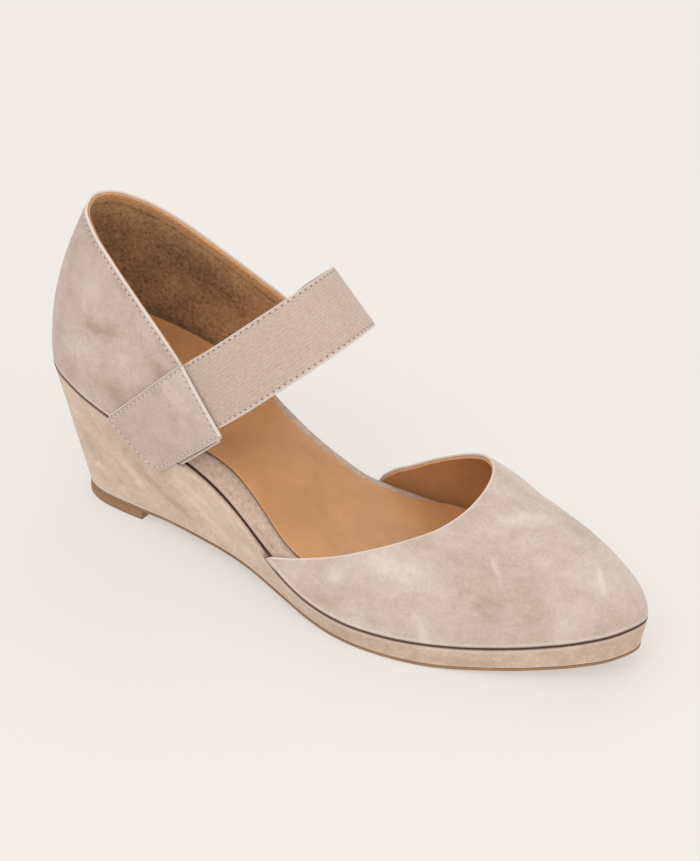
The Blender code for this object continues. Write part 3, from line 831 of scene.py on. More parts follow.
class Finish:
    """A procedural material put together round its Principled shader."""

    def __init__(self, name, roughness, specular):
        self.material = bpy.data.materials.new(name)
        self.material.use_nodes = True
        self.tree = self.material.node_tree
        self.shader = self.tree.nodes["Principled BSDF"]
        self.shader.inputs["Roughness"].default_value = roughness
        self.shader.inputs["Specular IOR Level"].default_value = specular
        self.object_place = self.node("ShaderNodeTexCoord").outputs["Object"]

    def node(self, kind, links=(), **values):
        """A new node, with its own settings and its inputs' values or links given by name or number."""
        made = self.tree.nodes.new(kind)
        for key, value in values.items():
            setattr(made, key, value)
        for key, value in dict(links).items():
            socket = made.inputs[key]
            if isinstance(value, bpy.types.NodeSocket):
                self.tree.links.new(value, socket)
            else:
                socket.default_value = value
        return made

    def attribute(self, name):
        return self.node("ShaderNodeAttribute", attribute_name=name).outputs["Fac"]

    def stretched(self, scale, turn=(0.0, 0.0, 0.0), place=None):
        """Object coordinates, or other ones, turned and stretched for a streaked pattern."""
        links = {"Vector": place or self.object_place, "Rotation": turn, "Scale": scale}
        return self.node("ShaderNodeMapping", links).outputs["Vector"]

    def noise(self, scale, detail=3.0, rough=0.55, distortion=0.0, place=None):
        links = {
            "Vector": place or self.object_place,
            "Scale": scale,
            "Detail": detail,
            "Roughness": rough,
            "Distortion": distortion,
        }
        return self.node("ShaderNodeTexNoise", links).outputs["Fac"]

    def cells(self, scale):
        """Distance to the nearest cell centre of a Voronoi pattern."""
        links = {"Vector": self.object_place, "Scale": scale}
        return self.node("ShaderNodeTexVoronoi", links).outputs["Distance"]

    def span(self, value, low, high, to_low=0.0, to_high=1.0):
        """A value from one range brought to another, held at its ends."""
        links = {0: value, 1: low, 2: high, 3: to_low, 4: to_high}
        return self.node("ShaderNodeMapRange", links).outputs["Result"]

    def maths(self, operation, first, second, third=0.0):
        links = {0: first, 1: second, 2: third}
        return self.node("ShaderNodeMath", links, operation=operation).outputs["Value"]

    def with_patterns(self, tone, *patterns):
        """A tone with patterns added to it, each given as a value, its range and the range that it adds."""
        for pattern, *ranges in patterns:
            tone = self.maths("ADD", tone, self.span(pattern, *ranges))
        return tone

    def mix(self, factor, first, second):
        """Two colours mixed by a factor, each given as a colour or as the output of another node."""
        ends = [end if isinstance(end, bpy.types.NodeSocket) else rgba(end) for end in (first, second)]
        made = self.node("ShaderNodeMix", {0: factor, 6: ends[0], 7: ends[1]}, data_type="RGBA")
        return made.outputs[2]

    def sheen(self, weight, roughness, tint=(1.0, 1.0, 1.0)):
        self.shader.inputs["Sheen Weight"].default_value = weight
        self.shader.inputs["Sheen Roughness"].default_value = roughness
        self.shader.inputs["Sheen Tint"].default_value = rgba(tint)

    def colour(self, socket):
        self.tree.links.new(socket, self.shader.inputs["Base Color"])

    def roughness(self, socket):
        self.tree.links.new(socket, self.shader.inputs["Roughness"])

    def bump(self, height, distance, strength=1.0, below=None):
        """A bump of the given depth in metres, over one that lies below it."""
        links = {"Height": height, "Distance": distance, "Strength": strength}
        if below is not None:
            links["Normal"] = below
        return self.node("ShaderNodeBump", links).outputs["Normal"]

    def relief(self, socket):
        self.tree.links.new(socket, self.shader.inputs["Normal"])


def rgba(colour):
    return (*colour, 1.0)


def suede_finish(name, light, dark, streak_turn, contrast, speckle):
    """Napped suede: cloudy tone, brushed streaks, fine fibres, pale edges and painted shade in the seam."""
    suede = Finish(name, roughness=0.95, specular=0.15)
    suede.sheen(0.30, 0.45, (1.0, 0.93, 0.87))
    brushed = suede.stretched((38.0, 150.0, 120.0), streak_turn)
    fibres = suede.noise(1250.0, 3.0, 0.7)
    reaches = (
        (suede.noise(46.0, 4.0, 0.62, 0.9), 0.17 * contrast),
        (suede.noise(175.0, 4.0, 0.6, 0.6), 0.15 * contrast),
        (suede.noise(1.0, 3.0, 0.6, 0.5, brushed), 0.11),
        (fibres, 0.16),
        (suede.noise(640.0, 3.0, 0.65), speckle),
    )
    # The nap attribute holds brushed tone, and on the quarter also the painted shade under the tab.
    tone = suede.maths("MULTIPLY", suede.attribute("nap"), 0.58)
    tone = suede.with_patterns(tone, *((value, *NOISE_RANGE, -reach, reach) for value, reach in reaches))
    body = suede.mix(suede.span(tone, -0.6, 0.6), dark, light)
    body = suede.mix(suede.attribute("edge"), body, colours().suede_edge)
    # The seam attribute mixes in painted shade where the upper, the wedge and the footbed meet.
    suede.colour(suede.mix(suede.attribute("seam"), body, colours().seam_brown))
    uneven = suede.bump(suede.noise(210.0, 3.0, 0.6), 0.00025, 0.5)
    suede.relief(suede.bump(fibres, 0.00022, 0.55, uneven))
    return suede.material


def pored_suede_finish(name):
    """The heel's brown suede lining, with a rough nap and dark pores."""
    lining = Finish(name, roughness=0.93, specular=0.2)
    lining.sheen(0.18, 0.5, (1.0, 0.85, 0.7))
    pores = lining.span(lining.cells(640.0), 0.08, 0.42)
    nap = lining.noise(620.0, 4.0, 0.7)
    clouds = lining.noise(75.0, 4.0, 0.65, 0.8)
    # The nap attribute carries the lining's painted light and painted shade.
    tone = lining.with_patterns(
        lining.maths("MULTIPLY_ADD", lining.attribute("nap"), 0.5, 0.32),
        (pores, 0.0, 1.0, -0.14, 0.14),
        (nap, 0.32, 0.68, -0.3, 0.3),
        (clouds, *NOISE_RANGE, -0.2, 0.2),
    )
    body = lining.mix(lining.span(tone, 0.0, 1.0), colours().lining_dark, colours().lining_light)
    lining.colour(lining.mix(lining.attribute("edge"), body, colours().leather_light))
    lining.relief(lining.bump(nap, 0.0003, 0.6, lining.bump(pores, 0.0003, 0.5)))
    return lining.material


def leather_finish(name):
    """Smooth tan leather with a soft gloss, cloudy tone and fine grain."""
    leather = Finish(name, roughness=0.48, specular=0.4)
    clouds = leather.noise(38.0, 4.0, 0.6, 0.7)
    tone_shift = leather.noise(1.0, 3.0, 0.6, 0.4, leather.stretched((30.0, 95.0, 95.0)))
    tone = leather.with_patterns(leather.span(clouds, 0.28, 0.72), (tone_shift, *NOISE_RANGE, -0.25, 0.25))
    body = leather.mix(leather.span(tone, -0.1, 1.1), colours().leather_dark, colours().leather_light)
    body = leather.mix(leather.attribute("edge"), body, colours().leather_light)
    # The seam attribute mixes in painted shade at the foot of the sock's edge.
    leather.colour(leather.mix(leather.attribute("seam"), body, colours().seam_brown))
    leather.roughness(leather.span(clouds, *NOISE_RANGE, 0.42, 0.56))
    soft = leather.bump(leather.noise(130.0, 3.0, 0.55), 0.0003, 0.35)
    leather.relief(leather.bump(leather.cells(1500.0), 0.00012, 0.35, soft))
    return leather.material


def elastic_finish(name):
    """Ribbed elastic: ribs along the strap, a fine weave across them, a plain woven edge."""
    elastic = Finish(name, roughness=0.85, specular=0.25)
    elastic.sheen(0.25, 0.5)
    pattern = elastic.node("ShaderNodeUVMap", uv_map="pattern").outputs["UV"]
    weave = elastic.noise(1.0, 2.0, 0.5, 0.0, elastic.stretched((1250.0, 560.0, 1.0), place=pattern))
    fuzz = elastic.noise(1500.0, 3.0, 0.7)
    tone = elastic.with_patterns(
        elastic.span(elastic.attribute("rib"), 0.0, 1.0, 0.34, 0.62),
        (weave, *NOISE_RANGE, -0.3, 0.3),
        (fuzz, 0.25, 0.75, -0.12, 0.12),
        (elastic.noise(55.0, 3.0, 0.6, 0.5), *NOISE_RANGE, -0.10, 0.14),
    )
    body = elastic.mix(tone, colours().elastic_dark, colours().elastic)
    elastic.colour(elastic.mix(elastic.attribute("edge"), body, colours().suede_edge))
    elastic.relief(elastic.bump(fuzz, 0.00018, 0.5, elastic.bump(weave, 0.0002, 0.6)))
    return elastic.material


def rubber_finish(name):
    """Brown sole rubber with long faint streaks and a satin gloss."""
    rubber = Finish(name, roughness=0.55, specular=0.4)
    streaks = rubber.noise(1.0, 4.0, 0.6, 0.3, rubber.stretched((25.0, 60.0, 700.0)))
    specks = rubber.noise(900.0, 2.0, 0.6)
    tone = rubber.with_patterns(rubber.span(streaks, *NOISE_RANGE), (specks, *NOISE_RANGE, -0.15, 0.15))
    rubber.colour(rubber.mix(tone, colours().rubber_dark, colours().rubber))
    rubber.relief(rubber.bump(specks, 0.00015, 0.4))
    return rubber.material


def thread_finish(name, colour):
    """Twisted sewing thread, or the painted shade of a needle hole."""
    thread = Finish(name, roughness=0.8, specular=0.3)
    twist = thread.noise(1.0, 2.0, 0.5, 0.0, thread.stretched((2200.0, 2200.0, 2200.0)))
    darker = [0.72 * part for part in colour]
    thread.colour(thread.mix(thread.span(twist, *NOISE_RANGE), darker, colour))
    thread.relief(thread.bump(twist, 0.0001, 0.5))
    return thread.material


# Maker of each finish. A suede adds its two tones, the turn of its streaks, its contrast and its speckle.
FINISHES = {
    "taupe_suede": (suede_finish, "suede_light", "suede_dark", (0.0, 0.0, 0.5), 1.0, 0.12),
    "wedge_suede": (suede_finish, "wedge_light", "wedge_dark", (0.0, 0.35, 0.0), 1.55, 0.2),
    "mauve_suede": (suede_finish, "mauve_light", "mauve_dark", (0.0, 0.6, 0.0), 0.8, 0.36),
    "heel_lining_suede": (pored_suede_finish,),
    "tan_leather": (leather_finish,),
    "rose_elastic": (elastic_finish,),
    "brown_rubber": (rubber_finish,),
    "sewing_thread": (thread_finish, "thread"),
    "lining_thread": (thread_finish, "lining_light"),
    "needle_hole": (thread_finish, "needle_hole"),
}


def finish_of(name):
    """A named material, made when it is first asked for. Settings given by name are read from the colours."""
    found = bpy.data.materials.get(name)
    if found:
        return found
    maker, *settings = FINISHES[name]
    return maker(name, *(getattr(colours(), item) if isinstance(item, str) else item for item in settings))


def vertex_array(mesh):
    places = np.empty(len(mesh.vertices) * 3)
    mesh.vertices.foreach_get("co", places)
    return places.reshape(-1, 3)


def set_places(mesh, points):
    """Move a mesh's vertices to pattern points, and turn its faces out if they point in."""
    places = to_frame(points)
    mesh.vertices.foreach_set("co", places.astype(np.float32).ravel())
    mesh.update()
    mesh.calc_loop_triangles()
    corners = np.empty(len(mesh.loop_triangles) * 3, np.int32)
    mesh.loop_triangles.foreach_get("vertices", corners)
    a, b, c = places[corners.reshape(-1, 3)].transpose(1, 0, 2)
    if np.einsum("ij,ij->", a, np.cross(b, c)) < 0:
        mesh.flip_normals()


def set_attributes(mesh, **fields):
    """Keep numbers for each vertex, which the materials read by name."""
    for name, values in fields.items():
        layer = mesh.attributes.new(name, "FLOAT", "POINT")
        layer.data.foreach_set("value", np.broadcast_to(values, len(mesh.vertices)).astype(np.float32))


def set_pattern_uv(mesh, flat):
    """A UV map from flat pattern millimetres, one unit to the metre."""
    layer = mesh.uv_layers.new(name="pattern")
    corners = np.empty(len(mesh.loops), np.int32)
    mesh.loops.foreach_get("vertex_index", corners)
    layer.data.foreach_set("uv", (flat[corners, :2] * MM).astype(np.float32).ravel())


def add_piece(name, mesh, finish, slot, *nodes):
    """Link a finished mesh as a piece of the shoe that stands for the given nodes."""
    mesh.shade_smooth()
    mesh.materials.append(finish_of(finish))
    piece = bpy.data.objects.new(name, mesh)
    bpy.context.scene.collection.objects.link(piece)
    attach(piece, "root")
    if nodes:
        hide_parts(*nodes)
    return piece


def mesh_from(bm, name):
    mesh = bpy.data.meshes.new(name)
    bm.to_mesh(mesh)
    bm.free()
    return mesh


def flat_slab(name, size, segments, front, back, rim):
    """A flat cut piece with rounded rims: x across, y up, and z is minus the depth, in millimetres."""
    bm = bmesh.new()
    bmesh.ops.create_grid(bm, x_segments=segments[0], y_segments=segments[1], size=0.5)
    bmesh.ops.translate(bm, verts=bm.verts, vec=(0.5, 0.5, 0.0))
    bmesh.ops.scale(bm, verts=bm.verts, vec=(size[0], size[1], 1.0))
    doubled = bmesh.ops.extrude_face_region(bm, geom=bm.faces[:], use_keep_orig=True)
    moved = [item for item in doubled["geom"] if isinstance(item, bmesh.types.BMVert)]
    bmesh.ops.translate(bm, verts=moved, vec=(0.0, 0.0, front - back))
    bmesh.ops.translate(bm, verts=bm.verts, vec=(0.0, 0.0, -front))
    bmesh.ops.recalc_face_normals(bm, faces=bm.faces)
    corners = [edge for edge in bm.edges if edge.calc_face_angle(0.0) > SHARP_ANGLE]
    bmesh.ops.bevel(bm, geom=corners, offset=rim, segments=3, profile=0.5, affect="EDGES", material=-1)
    return mesh_from(bm, name)


def pattern_shares(mesh, size):
    """Flat places of a cut piece in millimetres, their shares of its width and height, and their depths."""
    flat = vertex_array(mesh)
    across, upward = np.clip(flat[:, :2] / np.array(size), 0, 1).T
    return flat, across, upward, -flat[:, 2]


def ring_mesh(points):
    """A closed solid from rings of points: a grid is bent onto them and its seam and ends are merged."""
    columns, rows = points.shape[0] - 1, points.shape[1]
    bm = bmesh.new()
    bmesh.ops.create_grid(bm, x_segments=columns, y_segments=rows, size=0.5)
    for vert in bm.verts:
        i = round((vert.co.x + 0.5) * columns)
        j = round((vert.co.y + 0.5) * rows) % rows
        vert.co = Vector(points[i, j])
    bmesh.ops.remove_doubles(bm, verts=bm.verts, dist=MERGE_DISTANCE)
    bmesh.ops.dissolve_degenerate(bm, edges=bm.edges, dist=SLIVER)
    return bm


def stations(count):
    """Shares from heel to toe, closer together where the outline turns at its two ends."""
    k = np.linspace(0, 1, count + 1)
    return 0.75 * (1 - np.cos(math.pi * k)) / 2 + 0.25 * k


def layer_rings(sides, cap_steps, base_height=None):
    """Rings round a layer from its two side profiles, each from its bottom's inner edge to its top's."""
    lateral, medial = sides
    shares = (np.arange(1, cap_steps) / cap_steps)[None, :, None]
    top = lateral[:, -1:] * (1 - shares) + medial[:, -1:] * shares
    bottom = medial[:, :1] * (1 - shares) + lateral[:, :1] * shares
    if base_height is not None:
        for cap, edge in ((top, lateral[:, -1:]), (bottom, lateral[:, :1])):
            cap[..., 2] = base_height(cap[..., 0]) + (edge[..., 2] - base_height(edge[..., 0]))
    return np.concatenate([lateral, top, medial[:, ::-1], bottom], axis=1)


def layer_mesh(name, *rings):
    """A layer's mesh, and its vertices in pattern millimetres."""
    mesh = mesh_from(ring_mesh(layer_rings(*rings)), name)
    return mesh, vertex_array(mesh)


def drawn_in(line, s, inset):
    """Rows of plan points inside a line of points at s, by an inset for each row."""
    return line[:, None] - inset[..., None] * PLAN.outward(s)[:, None]


class ShoeStep:
    """What the operators share."""

    bl_options = {"REGISTER", "UNDO"}


class SolePieces(ShoeStep, bpy.types.Operator):
    """Brown outsole with its worn-smooth edge, and the heel lift under it"""

    bl_idname = "wedge_shoe.sole"
    bl_label = "Outsole and heel lift"

    def execute(self, context):
        self.add_outsole()
        self.add_lift()
        return {"FINISHED"}

    def add_outsole(self):
        rise = OUTSOLE_SHOWN * np.array([0.0, 0.0, 0.06, 0.2, 0.5, 0.85, 0.96, 1.0, 1.0])
        inset = np.array([4.0, 0.4, 0.1, 0.0, 0.0, 0.0, 0.08, 0.3, 4.0])
        sides = []
        for medial in (False, True):
            s = PLAN.s_of_share(stations(OUTSOLE_STEPS[0]), medial)
            plan = drawn_in(bottom_point(PLAN.at(s)), s, inset)
            sides.append(with_height(plan, floor_height(plan[..., 0]) + rise))
        mesh, places = layer_mesh("outsole_rubber", sides, OUTSOLE_STEPS[1], floor_height)
        set_places(mesh, places)
        add_piece("outsole_rubber", mesh, "brown_rubber", "rubber_brown", "outsole")

    def add_lift(self):
        rise = (LIFT_THICKNESS - SEAM_GAP) * np.array([0.0, 0.0, 0.04, 0.14, 0.5, 0.88, 0.97, 1.0, 1.0])
        inset = np.array([4.0, 0.5, 0.15, 0.0, 0.0, 0.0, 0.08, 0.3, 4.0])
        fine = np.linspace(0, 1, LINE_POINTS)
        steps = np.linspace(0, 1, LIFT_STEPS[0] + 1) ** 1.6
        sides = []
        for medial in (False, True):
            x = bottom_point(PLAN.at(PLAN.s_of_share(fine, medial)))[:, 0]
            s = PLAN.s_of_share(steps * np.interp(LIFT_FRONT_X, x, fine), medial)
            edge = bottom_point(PLAN.at(s))[:, None]
            # Towards its front the lift is drawn in across the shoe alone, so that its front stays flat.
            inward = drawn_in(0 * edge[:, 0], s, inset)
            inward[..., 0] *= 1 - ease(0.6, 1.0, steps)[:, None]
            sides.append(with_height(edge + inward, rise))
        bm = ring_mesh(layer_rings(sides, LIFT_STEPS[1]))
        front = [edge for edge in bm.edges if edge.is_boundary]
        bmesh.ops.holes_fill(bm, edges=front, sides=0)
        bmesh.ops.bevel(
            bm, geom=front, offset=LIFT_ROUND, segments=2, profile=0.5, affect="EDGES", material=-1
        )
        mesh = mesh_from(bm, "heel_lift_rubber")
        set_places(mesh, vertex_array(mesh))
        add_piece("heel_lift_rubber", mesh, "brown_rubber", "rubber_brown", "heel_lift")


class WedgePiece(ShoeStep, bpy.types.Operator):
    """Suede-covered wedge with soft edges, pulls in its cover and painted shade in the seam at its top"""

    bl_idname = "wedge_shoe.wedge"
    bl_label = "Wedge"

    def execute(self, context):
        radius = sizes().seam_round / MM
        turn = np.linspace(0, math.pi / 2, 5)
        climb = np.linspace(0, 1, 31)[1:-1]
        ledge = np.array([1.2, 1.6, 2.0, 2.4, 3.0, 7.0])
        from_wall, from_level = radius * (1 - np.sin(turn)), radius * (1 - np.cos(turn))
        # Share of the height, inset and rise of each row: bottom, its rounding, wall, top's rounding, top.
        share = np.concatenate([np.zeros(1 + len(turn)), climb, np.ones(len(turn) + len(ledge))])
        inset = np.concatenate([[6.0], from_wall, 0 * climb, from_level, ledge])
        rise = np.concatenate([[0.0], from_level, radius * (1 - 2 * climb), -from_wall, 0 * ledge])
        sides = []
        for medial in (False, True):
            s = PLAN.s_of_share(stations(WEDGE_STEPS[0]), medial)
            high = PLAN.at(s)
            low = bottom_point(high)
            out = PLAN.outward(s)[:, None]
            plan = low[:, None] + (high - low)[:, None] * share[None, :, None] - inset[None, :, None] * out
            foot = floor_height(plan[..., 0]) + OUTSOLE_SHOWN + LAYER_GAP
            z = foot + (seam_height(plan[..., 0]) - foot) * share + rise
            pull = soft_relief(WEDGE_PULLS, plan[..., 0], z) * np.sin(math.pi * share) ** 0.5
            sides.append(with_height(plan + pull[..., None] * out, z))
        mesh, places = layer_mesh("wedge_suede_cover", sides, WEDGE_STEPS[1])
        set_places(mesh, places)
        x, y, z = places.T
        below_seam = seam_height(x) - z
        above_sole = z - floor_height(x) - OUTSOLE_SHOWN
        from_side = np.minimum(y - PLAN.y_at(x, False), PLAN.y_at(x, True) - y)
        open_side = ease(*OPEN_SIDE_BACK, x) * (1 - ease(*OPEN_SIDE_FRONT, x))
        # Painted shade: the wedge's top darkens below the seam; where it lies open beside the footbed, its
        # outer ledge stays light and the shade further in is full.
        seam = (1 - ease(0.15, 0.75, below_seam)) * (1 - open_side * (1 - ease(1.5, 2.3, from_side)))
        set_attributes(
            mesh,
            seam=seam * (SEAM_SHADE + (1 - SEAM_SHADE) * open_side),
            edge=0.5 * (1 - ease(0.2, 1.3, above_sole)) + 0.4 * bell(below_seam, 1.2, 0.5),
            nap=soft_relief(WEDGE_NAP, x, z) + PLATFORM_NAP * ease(*PLATFORM_START, x),
        )
        add_piece("wedge_suede_cover", mesh, "wedge_suede", "suede_taupe", "wedge")
        return {"FINISHED"}


def bed_sides(steps, inset, lift):
    """Side profiles of a layer that lies in the shoe, from its insets and its heights over the seam."""
    sides = []
    for medial in (False, True):
        s = PLAN.s_of_share(stations(steps), medial)
        outline = PLAN.at(s)
        plan = drawn_in(outline, s, inset(outline[:, 0], medial))
        sides.append(with_height(plan, seam_height(plan[..., 0]) + lift))
    return sides


class FootbedPieces(ShoeStep, bpy.types.Operator):
    """Padded footbed wrapped in mauve suede, and the tan leather sock glued on its top"""

    bl_idname = "wedge_shoe.footbed"
    bl_label = "Footbed and sock"

    def execute(self, context):
        self.add_bed()
        self.add_sock()
        return {"FINISHED"}

    def add_bed(self):
        # Share of the way from bottom to top inset, extra inset and height of each row.
        climb = np.array([0.0, 0.0, 0.03, 0.1, 0.24, 0.4, 0.56, 0.7, 0.82, 0.91, 0.965, 0.99, 1.0, 1.0, 1.0])
        extra = np.array([8.0, 0.6, 0.2, 0.0, 0.0, 0.0, 0.02, 0.1, 0.28, 0.6, 1.1, 1.7, 2.6, 3.6, 9.0])
        lift = SEAM_GAP + (FOOTBED_THICKNESS - SEAM_GAP) * np.array(
            [0.0, 0.0, 0.03, 0.1, 0.24, 0.4, 0.56, 0.7, 0.82, 0.91, 0.955, 0.98, 0.993, 1.0, 1.0]
        )

        def inset(x, medial):
            low = column(FOOTBED_INSET, 1, x)
            high = column(FOOTBED_INSET, 2 + medial, x)
            return low[:, None] + (high - low)[:, None] * climb + extra

        along, over = BED_STEPS
        mesh, places = layer_mesh("footbed_cover", bed_sides(along, inset, lift), over, seam_height)
        set_places(mesh, places)
        height = places[:, 2] - seam_height(places[:, 0])
        # Painted shade at the footbed's foot, where it meets the wedge.
        set_attributes(mesh, seam=1 - ease(0.35, 0.8, height), edge=0.35 * bell(height, 1.4, 0.7), nap=0.0)
        bed = add_piece("footbed_cover", mesh, "mauve_suede", "suede_mauve", "footbed")

    def add_sock(self):
        extra = np.array([8.0, 0.35, 0.08, 0.0, 0.1, 0.35, 0.8, 1.6, 3.0, 5.0])
        lift = FOOTBED_THICKNESS + SEAM_GAP + SOCK_THICKNESS * np.array(
            [0.0, 0.0, 0.12, 0.4, 0.7, 0.88, 0.97, 1.0, 1.0, 1.0]
        )

        def inset(x, medial):
            return column(FOOTBED_INSET, 4 + medial, x)[:, None] + extra

        along, over = SOCK_STEPS
        mesh, places = layer_mesh("sock_leather", bed_sides(along, inset, lift), over, seam_height)
        x, y, z = places.T
        height = z - seam_height(x) - FOOTBED_THICKNESS - SEAM_GAP
        hollow = soft_relief(SOCK_HOLLOWS, x, y) * ease(0.9, 1.1, height)
        set_places(mesh, with_height(places[:, :2], z - hollow))
        # dark is painted shade at the foot of the sock's edge, where it meets the footbed; pale is its
        # lighter edge.
        pale, dark = 1 - ease(0.7, 1.15, height), 1 - ease(0.3, 0.95, height)
        set_attributes(mesh, edge=0.8 * pale, seam=0.85 * dark)
        add_piece("sock_leather", mesh, "tan_leather", "leather_tan", "sock")


def upper_fields(surface, u, v):
    """Places of a face, and their distances from its base and from its top edge, in millimetres."""
    here = surface(u, v)
    from_base = np.linalg.norm(here - surface(u, 0.0), axis=1)
    from_top = np.linalg.norm(here - surface(u, 1.0), axis=1)
    return here, from_base, from_top


def lining_drop(from_base, from_top):
    """Share of the height by which a lining ends below the edge of the upper."""
    return sizes().lining_drop / MM / np.maximum(from_base + from_top, 1.0)


class VampPieces(ShoeStep, bpy.types.Operator):
    """Suede vamp with its folded throat edge, and its tan leather lining"""

    bl_idname = "wedge_shoe.vamp"
    bl_label = "Vamp and lining"

    pattern_size = (350.0, 60.0)

    def execute(self, context):
        self.add_suede()
        self.add_lining()
        return {"FINISHED"}

    def shares(self, mesh):
        """Shares and depths of the flat pattern, tapered at the tip of the medial wing."""
        _, u, v, depth = pattern_shares(mesh, self.pattern_size)
        return u, v * (WING_TIP + (1 - WING_TIP) * ease(0.0, WING_TAPER, 1 - u)), depth

    def add_suede(self):
        thickness = sizes().suede_thickness / MM
        rim = sizes().edge_round / MM
        mesh = flat_slab("vamp_suede", self.pattern_size, (380, 84), 0.0, thickness, rim)
        u, v, depth = self.shares(mesh)
        here, from_base, from_top = upper_fields(vamp_surface, u, v)
        calm = ease(0.5, 6.0, from_base) * ease(0.5, 6.0, from_top) * (1 - depth / thickness)
        relief = soft_relief(VAMP_CREASES, here[:, 0], here[:, 1]) * calm
        set_places(mesh, vamp_at(u, v, depth - relief))
        outer = 1 - ease(0.5, 1.0, depth)
        lip = 0.55 * bell(from_base, 1.25, 0.45)
        # Painted shade: the pale edge is dimmed on the medial side, which lies in shade.
        lit_side = 1 - 0.55 * ease(0.55, 0.7, u)
        fold = np.maximum(1 - ease(0.25, 0.85, from_top), 1 - outer)
        set_attributes(
            mesh,
            edge=np.maximum(fold * lit_side, lip),
            # Painted shade at the vamp's foot, where it meets the wedge.
            seam=SEAM_SHADE * (1 - ease(0.2, 0.8, from_base)) * ease(3.0, 6.0, from_base + from_top),
            nap=soft_relief(VAMP_NAP, here[:, 0], here[:, 1]) * outer,
        )
        add_piece("vamp_suede", mesh, "taupe_suede", "suede_taupe", "vamp")

    def add_lining(self):
        front = sizes().suede_thickness / MM + LAYER_GAP
        mesh = flat_slab(
            "vamp_lining_leather", self.pattern_size, (240, 44), front, UPPER_THICKNESS, CUT_ROUND
        )
        u, v, depth = self.shares(mesh)
        _, from_base, from_top = upper_fields(vamp_surface, u, v)
        drop = np.clip(lining_drop(from_base, from_top), 0, 0.5)
        set_places(mesh, vamp_at(LINING_END + (1 - 2 * LINING_END) * u, v * (1 - drop), depth))
        set_attributes(mesh, edge=1 - ease(0.2, 1.0, from_top))
        add_piece("vamp_lining_leather", mesh, "tan_leather", "leather_tan")


class QuarterPieces(ShoeStep, bpy.types.Operator):
    """Suede quarter with its folded collar edge, and its brown suede lining"""

    bl_idname = "wedge_shoe.quarter"
    bl_label = "Quarter and lining"

    pattern_size = (200.0, 64.0)

    def execute(self, context):
        self.add_suede()
        self.add_lining()
        return {"FINISHED"}

    def add_suede(self):
        thickness = sizes().suede_thickness / MM
        margin = sizes().collar_margin / MM
        rim = sizes().edge_round / MM
        mesh = flat_slab("quarter_suede", self.pattern_size, (260, 110), 0.0, thickness, rim)
        _, u, v, depth = pattern_shares(mesh, self.pattern_size)
        here, from_base, from_top = upper_fields(quarter_surface, u, v)
        calm = ease(0.5, 6.0, from_base) * ease(2.0, 8.0, from_top) * (1 - depth / thickness)
        relief = soft_relief(QUARTER_CREASES, here[:, 0], here[:, 2]) * calm
        sewn = bell(from_top, margin, 0.55) * (1 - depth / thickness)
        set_places(mesh, above_wedge(quarter_at(u, v, depth - relief + 0.22 * sewn)))
        outer = 1 - ease(0.5, 1.0, depth)
        front = np.minimum(u, 1 - u) * self.pattern_size[0]
        pressed = bell(from_top, margin + 1.2, 1.0)
        lip = 0.45 * bell(from_base, 1.25, 0.45)
        # Painted shade: the pale edge is dimmed on the medial side, which lies in shade.
        lit_side = 1 - 0.5 * ease(0.42, 0.6, u)
        # Painted shade on the quarter's front corner, which lies under the tab.
        painted_tab_shade = 0.6 * (1 - ease(0.05, 0.12, u))
        fold = np.maximum(1 - ease(0.25, 0.85, np.minimum(from_top, front)), 1 - outer)
        brushed = soft_relief(QUARTER_NAP, here[:, 0], here[:, 2])
        set_attributes(
            mesh,
            edge=np.maximum(fold * lit_side, lip),
            # Painted shade at the quarter's foot, where it meets the wedge.
            seam=SEAM_SHADE * (1 - ease(0.2, 0.8, from_base)),
            # The nap carries brushed tone and the painted shade under the tab.
            nap=(brushed - 0.3 * pressed - painted_tab_shade - 0.2) * outer,
        )
        add_piece("quarter_suede", mesh, "taupe_suede", "suede_taupe", "quarter")

    def add_lining(self):
        front = sizes().suede_thickness / MM + LAYER_GAP
        mesh = flat_slab(
            "quarter_lining_suede", self.pattern_size, (180, 70), front, UPPER_THICKNESS, CUT_ROUND
        )
        _, u, v, depth = pattern_shares(mesh, self.pattern_size)
        here, from_base, from_top = upper_fields(quarter_surface, u, v)
        drop = lining_drop(from_base, from_top)
        set_places(mesh, above_wedge(quarter_at(u, v * (1 - drop), depth)))
        # Painted light on the lining's medial wall near its top, where light falls into the shoe.
        tone_shift = 0.8 * bell(from_top, 0, 9.0) * ease(-6.0, 10.0, here[:, 1])
        # Painted shade of a groove in the lining below the collar.
        groove = 0.7 * bell(from_top, 4.4, 0.6)
        nap = tone_shift - groove + soft_relief(LINING_LIGHT_AND_SHADE, here[:, 0], here[:, 2])
        set_attributes(mesh, edge=0.6 * (1 - ease(2.6, 4.0, from_top)), nap=nap)
        add_piece("quarter_lining_suede", mesh, "heel_lining_suede", "leather_tan")


